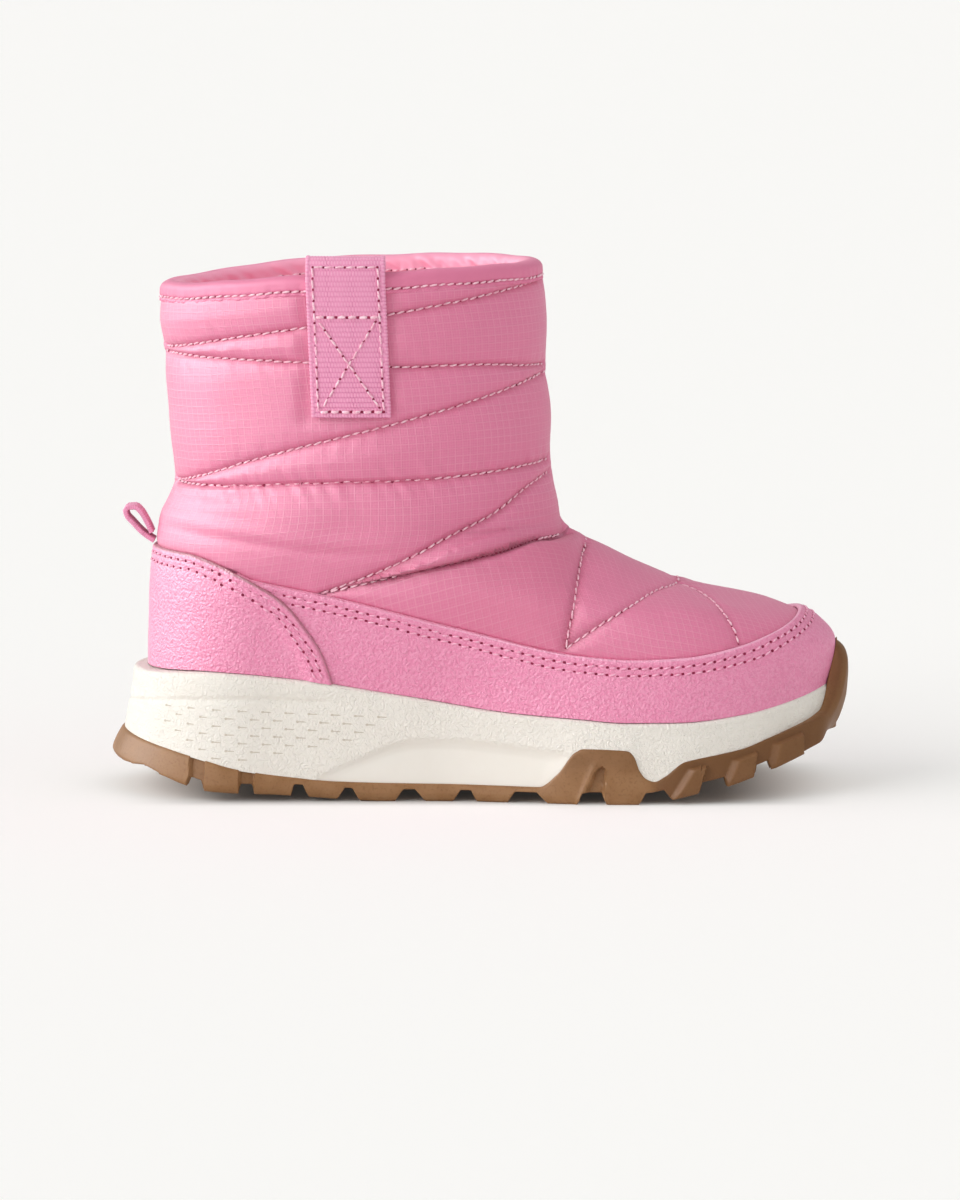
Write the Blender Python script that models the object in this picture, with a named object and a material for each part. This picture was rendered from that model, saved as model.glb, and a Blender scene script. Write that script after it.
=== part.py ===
"""Child's pull-on quilted snow boot for the right foot, empty and standing on its sole.

Sizes are millimetres in the boot's own frame: x runs from heel to toe, y from the outer side of
the foot (negative) to the inner side, z up from the floor. Meshes are written in metres.
"""

import math

import bmesh
import bpy
import numpy as np

MM = 0.001
FIT_GAP = 0.3
TINY = 1e-6
MERGE_METRES = 1e-7
SHARP_ANGLE = math.radians(40.0)
BISECT_STEPS = 50

# Level sections of the last: its two ends, the length over which each end rounds off, and the
# half widths at the four stations below
LAST_COLUMNS = ("height", "back", "front", "back_round", "front_round", "heel", "waist", "ball", "toe")
LAST = (
    (20.0, -98.5, 103.0, 30.0, 52.0, 27.2, 27.6, 36.0, 35.5),
    (32.0, -99.5, 105.2, 30.0, 52.0, 27.8, 28.6, 36.5, 36.0),
    (44.0, -99.4, 107.0, 31.0, 54.0, 29.0, 31.2, 37.0, 36.5),
    (50.0, -99.2, 102.5, 32.0, 57.0, 29.8, 32.6, 37.0, 36.5),
    (56.0, -99.0, 90.0, 34.0, 60.0, 30.8, 34.0, 36.8, 36.5),
    (60.0, -98.9, 71.0, 35.0, 62.0, 31.5, 35.0, 36.6, 36.0),
    (65.0, -98.6, 53.0, 37.0, 62.0, 32.3, 36.0, 36.5, 36.0),
    (70.0, -98.2, 41.0, 40.0, 60.0, 33.3, 37.0, 37.0, 36.5),
    (75.0, -97.5, 32.0, 43.0, 56.0, 34.6, 38.0, 38.0, 37.5),
    (78.0, -96.6, 26.2, 45.0, 54.0, 35.5, 38.4, 38.4, 38.0),
    (82.0, -95.3, 22.6, 47.0, 54.0, 36.5, 38.8, 38.8, 38.8),
    (95.0, -91.2, 20.6, 54.0, 55.0, 39.2, 39.8, 39.8, 39.8),
    (115.0, -92.0, 19.2, 56.0, 56.0, 40.3, 40.5, 40.5, 40.5),
    (135.0, -94.4, 18.5, 56.0, 56.0, 40.9, 41.0, 41.0, 41.0),
    (162.0, -97.0, 17.6, 56.5, 56.5, 42.0, 42.0, 42.0, 42.0),
)
HEEL_X = -70.0
WAIST_X = -15.0
BALL_X = 45.0
TOE_X = 85.0
TOE_SWING = 3.5
SWING_FROM_X = -20.0
SWING_TO_X = 105.0
ARCH_CUT = 3.0
ARCH_REACH = 48.0
ARCH_LOW = 34.0
ARCH_HIGH = 62.0

# Stretches of the boot in which each end of the last, and the counter's front edge, are looked for
END_LIMITS = {"back": (-115.0, -60.0), "front": (-20.0, 115.0)}
COUNTER_LIMITS = (-97.0, -43.0)

# Lines along the boot, as pairs of place and height
FEATHER = (
    (-99.5, 37.4), (-82.0, 38.6), (-54.0, 36.5), (-25.5, 32.1), (9.0, 26.7),
    (30.0, 25.2), (44.0, 24.2), (60.0, 24.2), (79.0, 25.9), (95.5, 29.3), (105.0, 31.9),
)
MUDGUARD_TOP = (
    (-70.0, 67.5), (-38.0, 60.9), (-7.0, 52.9), (30.0, 44.6), (46.0, 43.4),
    (61.0, 43.9), (76.0, 46.2), (88.0, 49.5), (96.5, 53.0), (102.0, 57.0),
)
COUNTER_TOP = (
    (-105.0, 74.4), (-88.0, 73.9), (-74.0, 69.7), (-66.0, 65.8), (-58.0, 60.2),
    (-52.0, 52.8), (-47.0, 44.4), (-43.0, 32.0),
)
COLLAR = (
    (-97.0, 154.5), (-85.0, 155.5), (-72.0, 157.0), (-50.0, 158.9), (-27.0, 159.7), (0.0, 160.8),
    (19.0, 161.0),
)
SOLE_BOTTOM = (
    (-99.5, 9.3), (-94.0, 6.6), (-88.0, 4.5), (-83.0, 3.0), (-73.0, 2.4), (-62.0, 2.0), (-51.0, 1.3),
    (-38.0, 0.4), (-28.0, 0.0), (50.0, 0.0), (58.0, 1.7), (66.0, 3.5), (73.5, 5.0), (81.0, 7.3),
    (85.0, 8.6), (94.0, 12.2), (98.5, 14.2), (105.0, 17.6),
)
LUG_TOP = (
    (-99.5, 17.2), (-89.0, 13.6), (-73.5, 9.0), (-57.0, 6.5), (-40.0, 5.3), (15.0, 4.5),
    (50.0, 6.0), (61.0, 10.8), (67.0, 11.8), (73.5, 12.8), (81.0, 15.0), (85.0, 16.6), (93.5, 19.5),
    (105.0, 23.5),
)
BORDER = (
    (-99.5, 18.5), (-95.5, 16.9), (-89.0, 14.8), (-81.0, 12.4), (-73.5, 10.0), (-67.0, 8.7),
    (-57.0, 7.4), (-43.0, 6.0), (-10.0, 5.2), (18.3, 4.9), (23.8, 8.9), (29.0, 15.7), (31.4, 16.8),
    (44.0, 16.3), (46.0, 14.5), (47.5, 10.5), (49.5, 7.9), (52.0, 7.0), (55.0, 8.5), (60.5, 12.7),
    (64.0, 13.5), (70.5, 14.6), (78.0, 16.0), (85.0, 18.4), (92.0, 20.7), (97.5, 22.6), (101.0, 24.4),
    (105.0, 26.0),
)
BUMPER_TOP = 44.8
BUMPER_REACH = 14.5

# How far the sole stands out from the last at the feather line
SOLE_COLUMNS = ("along", "rim", "border", "core", "lip", "wall_top", "wall", "foot")
SOLE_FLARE = (
    (-99.5, 6.2, 9.3, 6.6, 6.9, 9.8, 13.0, 10.8),
    (-88.0, 4.6, 6.8, 4.2, 4.5, 7.3, 9.2, 7.4),
    (-60.0, 3.4, 4.5, 2.0, 2.3, 4.9, 5.6, 4.7),
    (-10.0, 3.1, 4.0, 1.6, 1.9, 4.4, 5.0, 4.2),
    (45.0, 3.0, 4.0, 1.6, 1.9, 4.5, 5.2, 4.4),
    (80.0, 2.8, 3.4, 1.6, 1.9, 4.4, 5.6, 4.6),
    (95.0, 2.4, 2.6, 1.9, 2.3, 5.0, 6.8, 4.8),
    (102.0, 2.3, 2.4, 2.0, 4.2, 6.6, 8.4, 4.2),
    (105.2, 2.3, 2.4, 2.0, 4.4, 6.6, 8.4, 4.0),
)
SOLE_STATIONS = 30
STATION_SPACE = 3.0
SIDE_TABS_FROM_X = -20.0
SIDE_TABS_TO_X = 66.0
WALL_BULGE = 0.4
LUG_DEPTH = 3.0
TREAD_BASE = 2.0
SHORTEST_RIM = 0.6
LUG_PROUD = 0.7
LUG_BULGE_HEIGHT = 2.6
LEAST_MIDSOLE = 3.0
RIM_ROUND = 0.9
RIM_BAND = 0.30
RIM_BAND_FLARE = 0.1
STEP_MIDDLE = 0.35
STEP_FOOT = 0.40
STEP_FOOT_FLARE = 0.3
STEP_DEPTH = 0.7
STEP_FROM_X = -55.0
STEP_TO_X = -35.0
SCOOP_DEPTH = 1.3
SCOOP_AT = 0.72
SCOOP_FLARE = 0.7
SCOOP_AT_BORDER = 0.3
SCOOP_X = -8.0
SCOOP_REACH = 40.0

# Grooves across the tread: span at the floor, span at the top, and height of the top
GROOVES = (
    (-87.7, -83.4, -86.6, -82.4, 30.0),
    (-72.5, -68.0, -71.4, -66.9, 30.0),
    (-56.8, -51.5, -55.9, -53.2, 3.7),
    (-42.9, -36.3, -40.6, -38.3, 3.7),
    (-25.6, -16.4, -23.1, -19.5, 3.7),
    (-8.1, -0.9, -5.8, -2.7, 3.5),
    (8.3, 20.3, 10.5, 17.1, 3.4),
    (29.4, 38.0, 30.6, 36.3, 3.6),
    (47.7, 57.4, 49.6, 55.0, 3.7),
    (65.8, 73.7, 67.6, 71.6, 30.0),
    (82.4, 86.8, 82.0, 86.0, 40.0),
    (97.6, 100.6, 96.4, 99.4, 50.0),
)
CHANNEL_Y = 13.0
CHANNEL_HALF = 2.6
CHANNEL_BACK_X = -84.0
CHANNEL_FRONT_X = 84.0
SLOT = (29.8, 37.6, 31.8, 35.8, 12.0)
SLOT_FLOOR = 3.3
CUTTER_LOW = -2.0
CUTTER_REACH = 60.0

# Quilting seams of the outer side, mirrored to the inner side
SEAMS = {
    "collar_slant": ((-99.0, 134.0), (-71.0, 140.0), (-28.0, 147.0), (-4.0, 151.0), (24.0, 156.6)),
    "shaft_level": ((-99.0, 133.5), (-51.0, 132.9), (-26.0, 131.6), (-4.0, 131.6), (26.0, 128.6)),
    "shaft_slant": ((26.0, 129.4), (6.0, 123.0), (-18.0, 116.5), (-62.0, 104.9), (-99.0, 91.4)),
    "ankle_level": (
        (-99.0, 93.4), (-78.0, 94.7), (-48.0, 96.9), (-21.0, 97.7), (0.0, 98.9), (12.0, 100.0), (26.0, 101.0),
    ),
    "ankle_slant": (
        (28.0, 99.6), (15.0, 94.2), (4.5, 87.0), (-9.0, 80.6), (-24.0, 72.8), (-38.0, 66.7), (-48.0, 62.9),
    ),
    "instep_fold": ((-48.0, 62.9), (-23.0, 69.2), (6.0, 75.4), (19.0, 78.0), (34.0, 78.0)),
    "vamp_back": ((32.4, 76.0), (30.8, 72.4), (29.8, 68.6), (27.7, 57.6), (26.7, 52.9), (25.5, 46.5)),
    "vamp_rise": ((25.5, 46.5), (30.5, 50.2), (38.0, 55.2), (45.8, 59.3), (53.9, 62.2), (62.0, 62.8)),
    "vamp_fall": ((61.0, 63.2), (67.0, 61.1), (71.7, 57.8), (74.9, 53.8), (76.8, 50.2), (77.7, 47.0)),
}
SEAM_SAMPLES = 60
PUFF = 2.3
PUFF_SPAN = 13.0
FLATTER_FROM_X = 15.0
FLATTER_TO_X = 75.0
FLATTER_BY = 0.9

# Upper wall, overlays and trim
FOOT_WALL = 3.0
SHAFT_WALL = 5.0
UPPER_COLUMNS = 56
FOOT_LEVELS = (0.0, 0.2, 0.4, 0.6, 0.8, 1.0)
COVER_RECESS = 0.55
VAMP_SPAN = 0.30
VAMP_ROWS = 11
SHAFT_ROWS = 12
INNER_STEP = 4
MUDGUARD_THICK = 1.5
OVERLAY_LEVELS = (0.015, 0.2, 0.4, 0.6, 0.8, 1.0)
MUDGUARD_COLUMNS = 37
COUNTER_THICK = 1.7
COUNTER_COLUMNS = 29
EDGE_GAP = 1.4
BINDING_HEIGHT = 5.5
BINDING_PROUD = 1.1
BINDING_EDGE = 0.2
BINDING_HEM = 0.9
BINDING_SHOULDER = 3.1
BINDING_ROLL = 4.9
BINDING_ROLL_IN = 1.2
COLLAR_LEVELS = (1.96, 2.0)
INSOLE_THICK = 4.0
INSOLE_GAP = 0.6

TAB_BACK_X = -50.6
TAB_FRONT_X = -27.4
TAB_COLUMNS = 5
TAB_SIDE_ROWS = 7
TAB_TURN_ROWS = 8
TAB_INSIDE_ROWS = 4
TAB_LOW = 116.8
TAB_SHOULDER = 157.5
TAB_TOP = 163.6
TAB_INSIDE_LOW = 146.0
TAB_THICK = 1.4
TAB_LIFT = 1.4
TAB_PRESS = 0.35
TAB_MARGIN = 5.0

LOOP_PATH = (
    (-99.1, 75.3), (-102.4, 77.6), (-105.5, 80.8), (-107.5, 83.2), (-107.8, 84.5), (-106.8, 85.5),
    (-105.0, 85.6), (-103.1, 84.1), (-101.6, 81.6), (-100.3, 78.9), (-99.9, 77.8),
)
LOOP_WIDTH = 8.0
LOOP_THICK = 1.1

# Colour and roughness of each material
FINISHES = {
    "gum_rubber": ((0.24, 0.13, 0.06), 0.55),
    "midsole_foam": ((0.86, 0.84, 0.78), 0.60),
    "insole_fleece": ((0.76, 0.24, 0.42), 0.95),
    "quilted_fabric": ((0.80, 0.19, 0.42), 0.60),
    "coated_leather": ((0.78, 0.20, 0.42), 0.50),
    "binding_tape": ((0.80, 0.19, 0.42), 0.65),
    "tab_webbing": ((0.74, 0.20, 0.44), 0.80),
    "loop_ribbon": ((0.74, 0.20, 0.44), 0.80),
}


def remove_everything():
    for old in list(bpy.data.objects):
        bpy.data.objects.remove(old, do_unlink=True)


def make_material(name):
    colour, roughness = FINISHES[name]
    material = bpy.data.materials.new(name)
    material.use_nodes = True
    shader = material.node_tree.nodes["Principled BSDF"]
    shader.inputs["Base Color"].default_value = (*colour, 1.0)
    shader.inputs["Roughness"].default_value = roughness
    shader.inputs["Metallic"].default_value = 0.0
    return material


# Curves and steps

def monotone_curve(x, knots, values):
    """Smooth curve through the knots that never swings past them, level beyond both ends."""
    knots = np.asarray(knots, float)
    values = np.asarray(values, float)
    gaps = np.diff(knots)
    rises = np.diff(values) / gaps
    slopes = np.empty_like(values)
    slopes[0] = rises[0]
    slopes[-1] = rises[-1]
    for i in range(1, len(values) - 1):
        before = rises[i - 1]
        after = rises[i]
        if before * after <= 0.0:
            slopes[i] = 0.0
            continue
        near = 2.0 * gaps[i] + gaps[i - 1]
        far = gaps[i] + 2.0 * gaps[i - 1]
        slopes[i] = (near + far) / (near / before + far / after)
    x = np.clip(x, knots[0], knots[-1])
    i = np.clip(np.searchsorted(knots, x, side="right") - 1, 0, len(gaps) - 1)
    t = (x - knots[i]) / gaps[i]
    start = (1.0 + 2.0 * t) * (1.0 - t) ** 2 * values[i] + t * (1.0 - t) ** 2 * gaps[i] * slopes[i]
    end = t ** 2 * (3.0 - 2.0 * t) * values[i + 1] - t ** 2 * (1.0 - t) * gaps[i] * slopes[i + 1]
    return start + end


def line_height(line, x):
    knots, values = zip(*line)
    return monotone_curve(x, knots, values)


def soft_step(x, low, high):
    t = np.clip((x - low) / (high - low), 0.0, 1.0)
    return t * t * (3.0 - 2.0 * t)


def hump(x, middle, reach):
    return 1.0 - soft_step(np.abs(x - middle), 0.0, reach)


def bisect(error, low, high, shape):
    """Place where a rising error crosses nought, worked out for a whole array at once."""
    low = np.full(shape, low)
    high = np.full(shape, high)
    for _ in range(BISECT_STEPS):
        middle = (low + high) / 2.0
        above = error(middle) > 0.0
        high = np.where(above, middle, high)
        low = np.where(above, low, middle)
    return (low + high) / 2.0


# Shape of the last

def last_at(height):
    columns = list(zip(*LAST))
    return {name: monotone_curve(height, columns[0], column) for name, column in zip(LAST_COLUMNS, columns)}


def round_end(distance, length):
    t = 1.0 - np.clip(distance / length, 0.0, 1.0)
    return np.sqrt(np.maximum(0.0, 1.0 - t * t))


def centre_line(x):
    return TOE_SWING * np.clip((x - SWING_FROM_X) / (SWING_TO_X - SWING_FROM_X), 0.0, None) ** 2


def half_width(x, z, side):
    """Half width of the last at a place and height, with the arch cut on the inner side."""
    last = last_at(z)
    width = last["heel"] + (last["waist"] - last["heel"]) * soft_step(x, HEEL_X, WAIST_X)
    width = width + (last["ball"] - last["waist"]) * soft_step(x, WAIST_X, BALL_X)
    width = width + (last["toe"] - last["ball"]) * soft_step(x, BALL_X, TOE_X)
    arch = ARCH_CUT * hump(x, WAIST_X, ARCH_REACH) * (1.0 - soft_step(z, ARCH_LOW, ARCH_HIGH))
    width = width - np.where(side > 0, arch, 0.0)
    back = round_end(x - last["back"], last["back_round"])
    front = round_end(last["front"] - x, last["front_round"])
    return width * back * front


def last_points(x, z, side):
    y = centre_line(x) + side * half_width(x, z, side)
    return np.stack(np.broadcast_arrays(x, y, z), axis=-1)


def cover_line(x):
    """Top of whichever overlay reaches higher."""
    return np.maximum(line_height(MUDGUARD_TOP, x), line_height(COUNTER_TOP, x))


def level_height(x, level):
    """Height of a level line: 0 at the sole, 1 at the top of the overlays, 2 under the binding."""
    low = line_height(FEATHER, x) + FIT_GAP
    cover = cover_line(x)
    top = line_height(COLLAR, x) - BINDING_HEIGHT
    lower = low + (cover - low) * np.minimum(level, 1.0)
    return lower + (top - cover) * np.maximum(level - 1.0, 0.0)


def end_of_line(height, end, shape):
    """Where a line of the given height meets the back or front of the last."""
    return bisect(lambda x: x - last_at(height(x))[end], *END_LIMITS[end], shape)


def around(levels, angles):
    """Points round the last on each level line, from the toe along the outer side and back."""
    levels = np.asarray(levels, float)[:, None]

    def height(x):
        return level_height(x, levels)

    back = end_of_line(height, "back", levels.shape)
    front = end_of_line(height, "front", levels.shape)
    x = (front + back) / 2.0 + (front - back) / 2.0 * np.cos(angles)
    side = -np.sign(np.sin(angles))
    return last_points(x, height(x), side)


def even_angles(count):
    return 2.0 * math.pi * np.arange(count) / count


def normals_of(grid, closed):
    if closed:
        along = np.roll(grid, -1, axis=1) - np.roll(grid, 1, axis=1)
    else:
        along = np.gradient(grid, axis=1, edge_order=min(2, grid.shape[1] - 1))
    normals = np.cross(np.gradient(grid, axis=0), along)
    return normals / np.linalg.norm(normals, axis=-1, keepdims=True)


# Quilting

def seam_points(seam, side):
    corners = np.array(seam)
    lengths = np.linalg.norm(np.diff(corners, axis=0), axis=1)
    reach = np.concatenate(([0.0], np.cumsum(lengths)))
    places = np.linspace(0.0, reach[-1], SEAM_SAMPLES)
    x = monotone_curve(places, reach, corners[:, 0])
    z = monotone_curve(places, reach, corners[:, 1])
    last = last_at(z)
    return last_points(np.clip(x, last["back"], last["front"]), z, side)


def tab_press(points):
    """How much of the quilting is left under the pull tab."""
    across = soft_step(points[..., 0], TAB_BACK_X - TAB_MARGIN, TAB_BACK_X)
    across = across * (1.0 - soft_step(points[..., 0], TAB_FRONT_X, TAB_FRONT_X + TAB_MARGIN))
    up = soft_step(points[..., 2], TAB_LOW - TAB_MARGIN, TAB_LOW)
    outer_side = points[..., 1] < 0.0
    return 1.0 - (1.0 - TAB_PRESS) * across * up * outer_side


def fullness(points):
    """How full the padding is: it thins out over the foot towards the toe."""
    along = (points[..., 0] - FLATTER_FROM_X) / (FLATTER_TO_X - FLATTER_FROM_X)
    return 1.0 - FLATTER_BY * np.clip(along, 0.0, 1.0)


def quilt_relief(grid, levels):
    """Height of the padding over the last, nought on seams, with a slight recess under overlays."""
    lines = [seam_points(seam, side) for seam in SEAMS.values() for side in (-1.0, 1.0)]
    edge_rows = around((1.0, 2.0), even_angles(4 * UPPER_COLUMNS))
    stitched = np.concatenate(lines + list(edge_rows))
    flat = grid.reshape(-1, 3)
    distance = np.array([np.linalg.norm(stitched - point, axis=1).min() for point in flat])
    t = 1.0 - np.minimum(distance / PUFF_SPAN, 1.0)
    relief = (PUFF * np.sqrt(1.0 - t * t)).reshape(grid.shape[:2])
    padded = np.asarray(levels)[:, None] > 1.0
    return np.where(padded, relief * fullness(grid) * tab_press(grid), -COVER_RECESS)


# Solids from grids of points

def new_object(name, mesh_data, material):
    mesh = bpy.data.meshes.new(name)
    bmesh.ops.remove_doubles(mesh_data, verts=mesh_data.verts, dist=MERGE_METRES)
    bmesh.ops.recalc_face_normals(mesh_data, faces=mesh_data.faces)
    mesh_data.to_mesh(mesh)
    mesh_data.free()
    mesh.shade_smooth()
    mesh.set_sharp_from_angle(angle=SHARP_ANGLE)
    mesh.materials.append(material)
    made = bpy.data.objects.new(name, mesh)
    bpy.context.scene.collection.objects.link(made)
    return made


def add_points(mesh_data, grid):
    return [[mesh_data.verts.new(np.asarray(point) * MM) for point in row] for row in grid]


def bridge(mesh_data, first, second, closed):
    count = len(first)
    for i in range(count if closed else count - 1):
        j = (i + 1) % count
        mesh_data.faces.new((first[i], first[j], second[j], second[i]))


def ring_solid(name, rings, material):
    """Solid with a hole through it: rings joined in order, the last one back to the first."""
    mesh_data = bmesh.new()
    rows = add_points(mesh_data, rings)
    for i, row in enumerate(rows):
        bridge(mesh_data, row, rows[(i + 1) % len(rows)], True)
    return new_object(name, mesh_data, material)


def cap(mesh_data, ring):
    """Close a ring with strips from the outer to the inner side, keeping its rise along the boot."""
    half = len(ring) // 2
    for i in range(half):
        mirror = (len(ring) - i) % len(ring)
        corners = [ring[i], ring[i + 1], ring[mirror - 1], ring[mirror]]
        if i == 0:
            corners = corners[:3]
        if i == half - 1:
            corners = [ring[i], ring[i + 1], ring[mirror]]
        mesh_data.faces.new(corners)


def capped_solid(name, rings, material):
    """Solid without a hole: rings from top to bottom, both ends closed."""
    mesh_data = bmesh.new()
    rows = add_points(mesh_data, rings)
    for above, below in zip(rows, rows[1:]):
        bridge(mesh_data, above, below, True)
    cap(mesh_data, rows[0])
    cap(mesh_data, rows[-1])
    return new_object(name, mesh_data, material)


def slab_solid(name, outer, inner, material):
    """Sheet with thickness between two open grids of points."""
    mesh_data = bmesh.new()
    front = add_points(mesh_data, outer)
    rear = add_points(mesh_data, inner)
    for rows in (front, rear):
        for above, below in zip(rows, rows[1:]):
            bridge(mesh_data, above, below, False)
    for row in (0, -1):
        bridge(mesh_data, front[row], rear[row], False)
    for column in (0, -1):
        bridge(mesh_data, [row[column] for row in front], [row[column] for row in rear], False)
    return new_object(name, mesh_data, material)


# Upper and what is sewn to it

def upper_levels():
    vamp = np.linspace(1.0, 1.0 + VAMP_SPAN, VAMP_ROWS + 1)[1:]
    shaft = np.linspace(1.0 + VAMP_SPAN, 2.0, SHAFT_ROWS + 1)[1:]
    return np.concatenate((FOOT_LEVELS, vamp, shaft))


def make_upper(material):
    levels = upper_levels()
    last = around(levels, even_angles(UPPER_COLUMNS))
    normals = normals_of(last, True)
    outside = last + normals * quilt_relief(last, levels)[..., None]
    wall = FOOT_WALL + (SHAFT_WALL - FOOT_WALL) * soft_step(levels, 1.0, 1.0 + VAMP_SPAN)
    inside = last - normals * wall[:, None, None]
    inside[-1, :, 2] = np.minimum(inside[-1, :, 2], last[-1, :, 2])
    kept = sorted({0, len(levels) - 1, *range(0, len(levels), INNER_STEP)}, reverse=True)
    return ring_solid("upper", [*outside, *inside[kept]], material)


def make_binding(material):
    rows = around(COLLAR_LEVELS, even_angles(UPPER_COLUMNS))
    outward = normals_of(rows, True)[1]
    outward[:, 2] = 0.0
    outward = outward / np.linalg.norm(outward, axis=1, keepdims=True)
    half = (
        (BINDING_EDGE, FIT_GAP),
        (BINDING_PROUD, BINDING_HEM),
        (BINDING_PROUD, BINDING_SHOULDER),
        (BINDING_PROUD - BINDING_ROLL_IN, BINDING_ROLL),
    )
    crown = ((-SHAFT_WALL / 2.0, BINDING_HEIGHT),)
    mirrored = tuple((-SHAFT_WALL - out, up) for out, up in reversed(half))
    rings = [rows[1] + outward * out + np.array((0.0, 0.0, up)) for out, up in half + crown + mirrored]
    return ring_solid("collar_binding", rings, material)


def overlay_solid(name, rows, thickness, material):
    normals = normals_of(rows, False)
    return slab_solid(name, rows + normals * (FIT_GAP + thickness), rows + normals * FIT_GAP, material)


def counter_edge(levels):
    """Front edge of the heel counter on each level line."""
    def above_edge(x):
        return level_height(x, levels) - line_height(COUNTER_TOP, x) - TINY

    return bisect(above_edge, *COUNTER_LIMITS, levels.shape)


def overlay_rows(levels, columns, edge, end):
    """Level lines from an edge on the outer side, round one end of the last, to the inner side."""
    tip = end_of_line(lambda x: level_height(x, levels), end, levels.shape)
    turn = np.linspace(-math.pi / 2.0, math.pi / 2.0, columns)
    x = edge + (tip - edge) * np.cos(turn)
    return last_points(x, level_height(x, levels), np.sign(turn))


def make_mudguard(material):
    levels = np.array(OVERLAY_LEVELS)[:, None]
    edge = counter_edge(levels) + EDGE_GAP
    rows = overlay_rows(levels, MUDGUARD_COLUMNS, edge, "front")
    return overlay_solid("mudguard", rows[:, ::-1], MUDGUARD_THICK, material)


def make_counter(material):
    levels = np.array(OVERLAY_LEVELS)[:, None]
    rows = overlay_rows(levels, COUNTER_COLUMNS, counter_edge(levels), "back")
    return overlay_solid("heel_counter", rows, COUNTER_THICK, material)


def ribbon_solid(name, middle, thickness, material):
    normals = normals_of(middle, False) * thickness / 2.0
    return slab_solid(name, middle + normals, middle - normals, material)


def make_pull_tab(material):
    """Webbing up the outer side, over the collar and a little way down inside."""
    x = np.linspace(TAB_BACK_X, TAB_FRONT_X, TAB_COLUMNS)
    lift = TAB_LIFT + TAB_THICK / 2.0
    drop = SHAFT_WALL + BINDING_PROUD + FIT_GAP + TAB_THICK / 2.0
    rows = []
    for z in np.linspace(TAB_LOW, TAB_SHOULDER, TAB_SIDE_ROWS):
        rows.append(last_points(x, np.full_like(x, z), -1.0) - np.array((0.0, lift, 0.0)))
    rim = last_points(x, np.full_like(x, TAB_SHOULDER), -1.0)
    for angle in np.linspace(0.0, math.pi, TAB_TURN_ROWS)[1:-1]:
        over = (drop - lift) / 2.0 - (drop + lift) / 2.0 * math.cos(angle)
        rise = (TAB_TOP - TAB_SHOULDER) * math.sin(angle)
        rows.append(rim + np.array((0.0, over, rise)))
    for z in np.linspace(TAB_SHOULDER, TAB_INSIDE_LOW, TAB_INSIDE_ROWS):
        rows.append(last_points(x, np.full_like(x, z), -1.0) + np.array((0.0, drop, 0.0)))
    return ribbon_solid("pull_tab", np.array(rows), TAB_THICK, material)


def make_heel_loop(material):
    rows = []
    for x, z in LOOP_PATH:
        rows.append([(x, -LOOP_WIDTH / 2.0, z), (x, LOOP_WIDTH / 2.0, z)])
    return ribbon_solid("heel_loop", np.array(rows), LOOP_THICK, material)


# Sole

class SoleOutline:
    """Stations round the sole on the last's feather line, with the sizes of the sole at each."""

    def __init__(self):
        ends = around((0.0,), np.array((0.0, math.pi)))[0]
        middle = (ends[0, 0] + ends[1, 0]) / 2.0
        half = (ends[0, 0] - ends[1, 0]) / 2.0
        corners = np.array([x for x, _ in BORDER if SIDE_TABS_FROM_X < x < SIDE_TABS_TO_X])
        even = math.pi * np.arange(1, SOLE_STATIONS) / SOLE_STATIONS
        spaced = [a for a in even if np.abs(middle + half * math.cos(a) - corners).min() > STATION_SPACE]
        angles = sorted([*spaced, *np.arccos((corners - middle) / half)])
        self.angles = np.array([0.0, *angles, math.pi, *[2.0 * math.pi - a for a in reversed(angles)]])
        rows = around((0.0, 0.02), self.angles)
        self.points = rows[0] * np.array((1.0, 1.0, 0.0))
        tangent = np.roll(self.points, -1, axis=0) - np.roll(self.points, 1, axis=0)
        normal = np.stack((tangent[:, 1], -tangent[:, 0], tangent[:, 2]), axis=-1)
        self.normals = -normal / np.linalg.norm(normal, axis=1, keepdims=True)
        self.x = self.points[:, 0]
        columns = list(zip(*SOLE_FLARE))
        self.flare = {
            name: monotone_curve(self.x, columns[0], column) for name, column in zip(SOLE_COLUMNS, columns)
        }
        self.feather = line_height(FEATHER, self.x)
        self.bottom = line_height(SOLE_BOTTOM, self.x)
        self.border = self.border_with_bumper()
        self.floor = np.minimum(self.bottom + LUG_DEPTH + TREAD_BASE, self.border - SHORTEST_RIM)

    def border_with_bumper(self):
        border = line_height(BORDER, self.x)
        aside = np.abs(self.points[:, 1] - centre_line(self.x))
        rise = (1.0 - soft_step(aside, 0.0, BUMPER_REACH)) * (self.x > BALL_X)
        return border + (BUMPER_TOP - border) * rise

    def ring(self, out, z):
        ring = self.points + self.normals * np.broadcast_to(out, self.x.shape)[:, None]
        ring[:, 2] = z
        return ring

    def feather_ring(self, out, lift):
        """Ring that follows the feather line at its own place along the boot."""
        ring = self.ring(out, 0.0)
        ring[:, 2] = line_height(FEATHER, ring[:, 0]) + lift
        return ring


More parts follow.
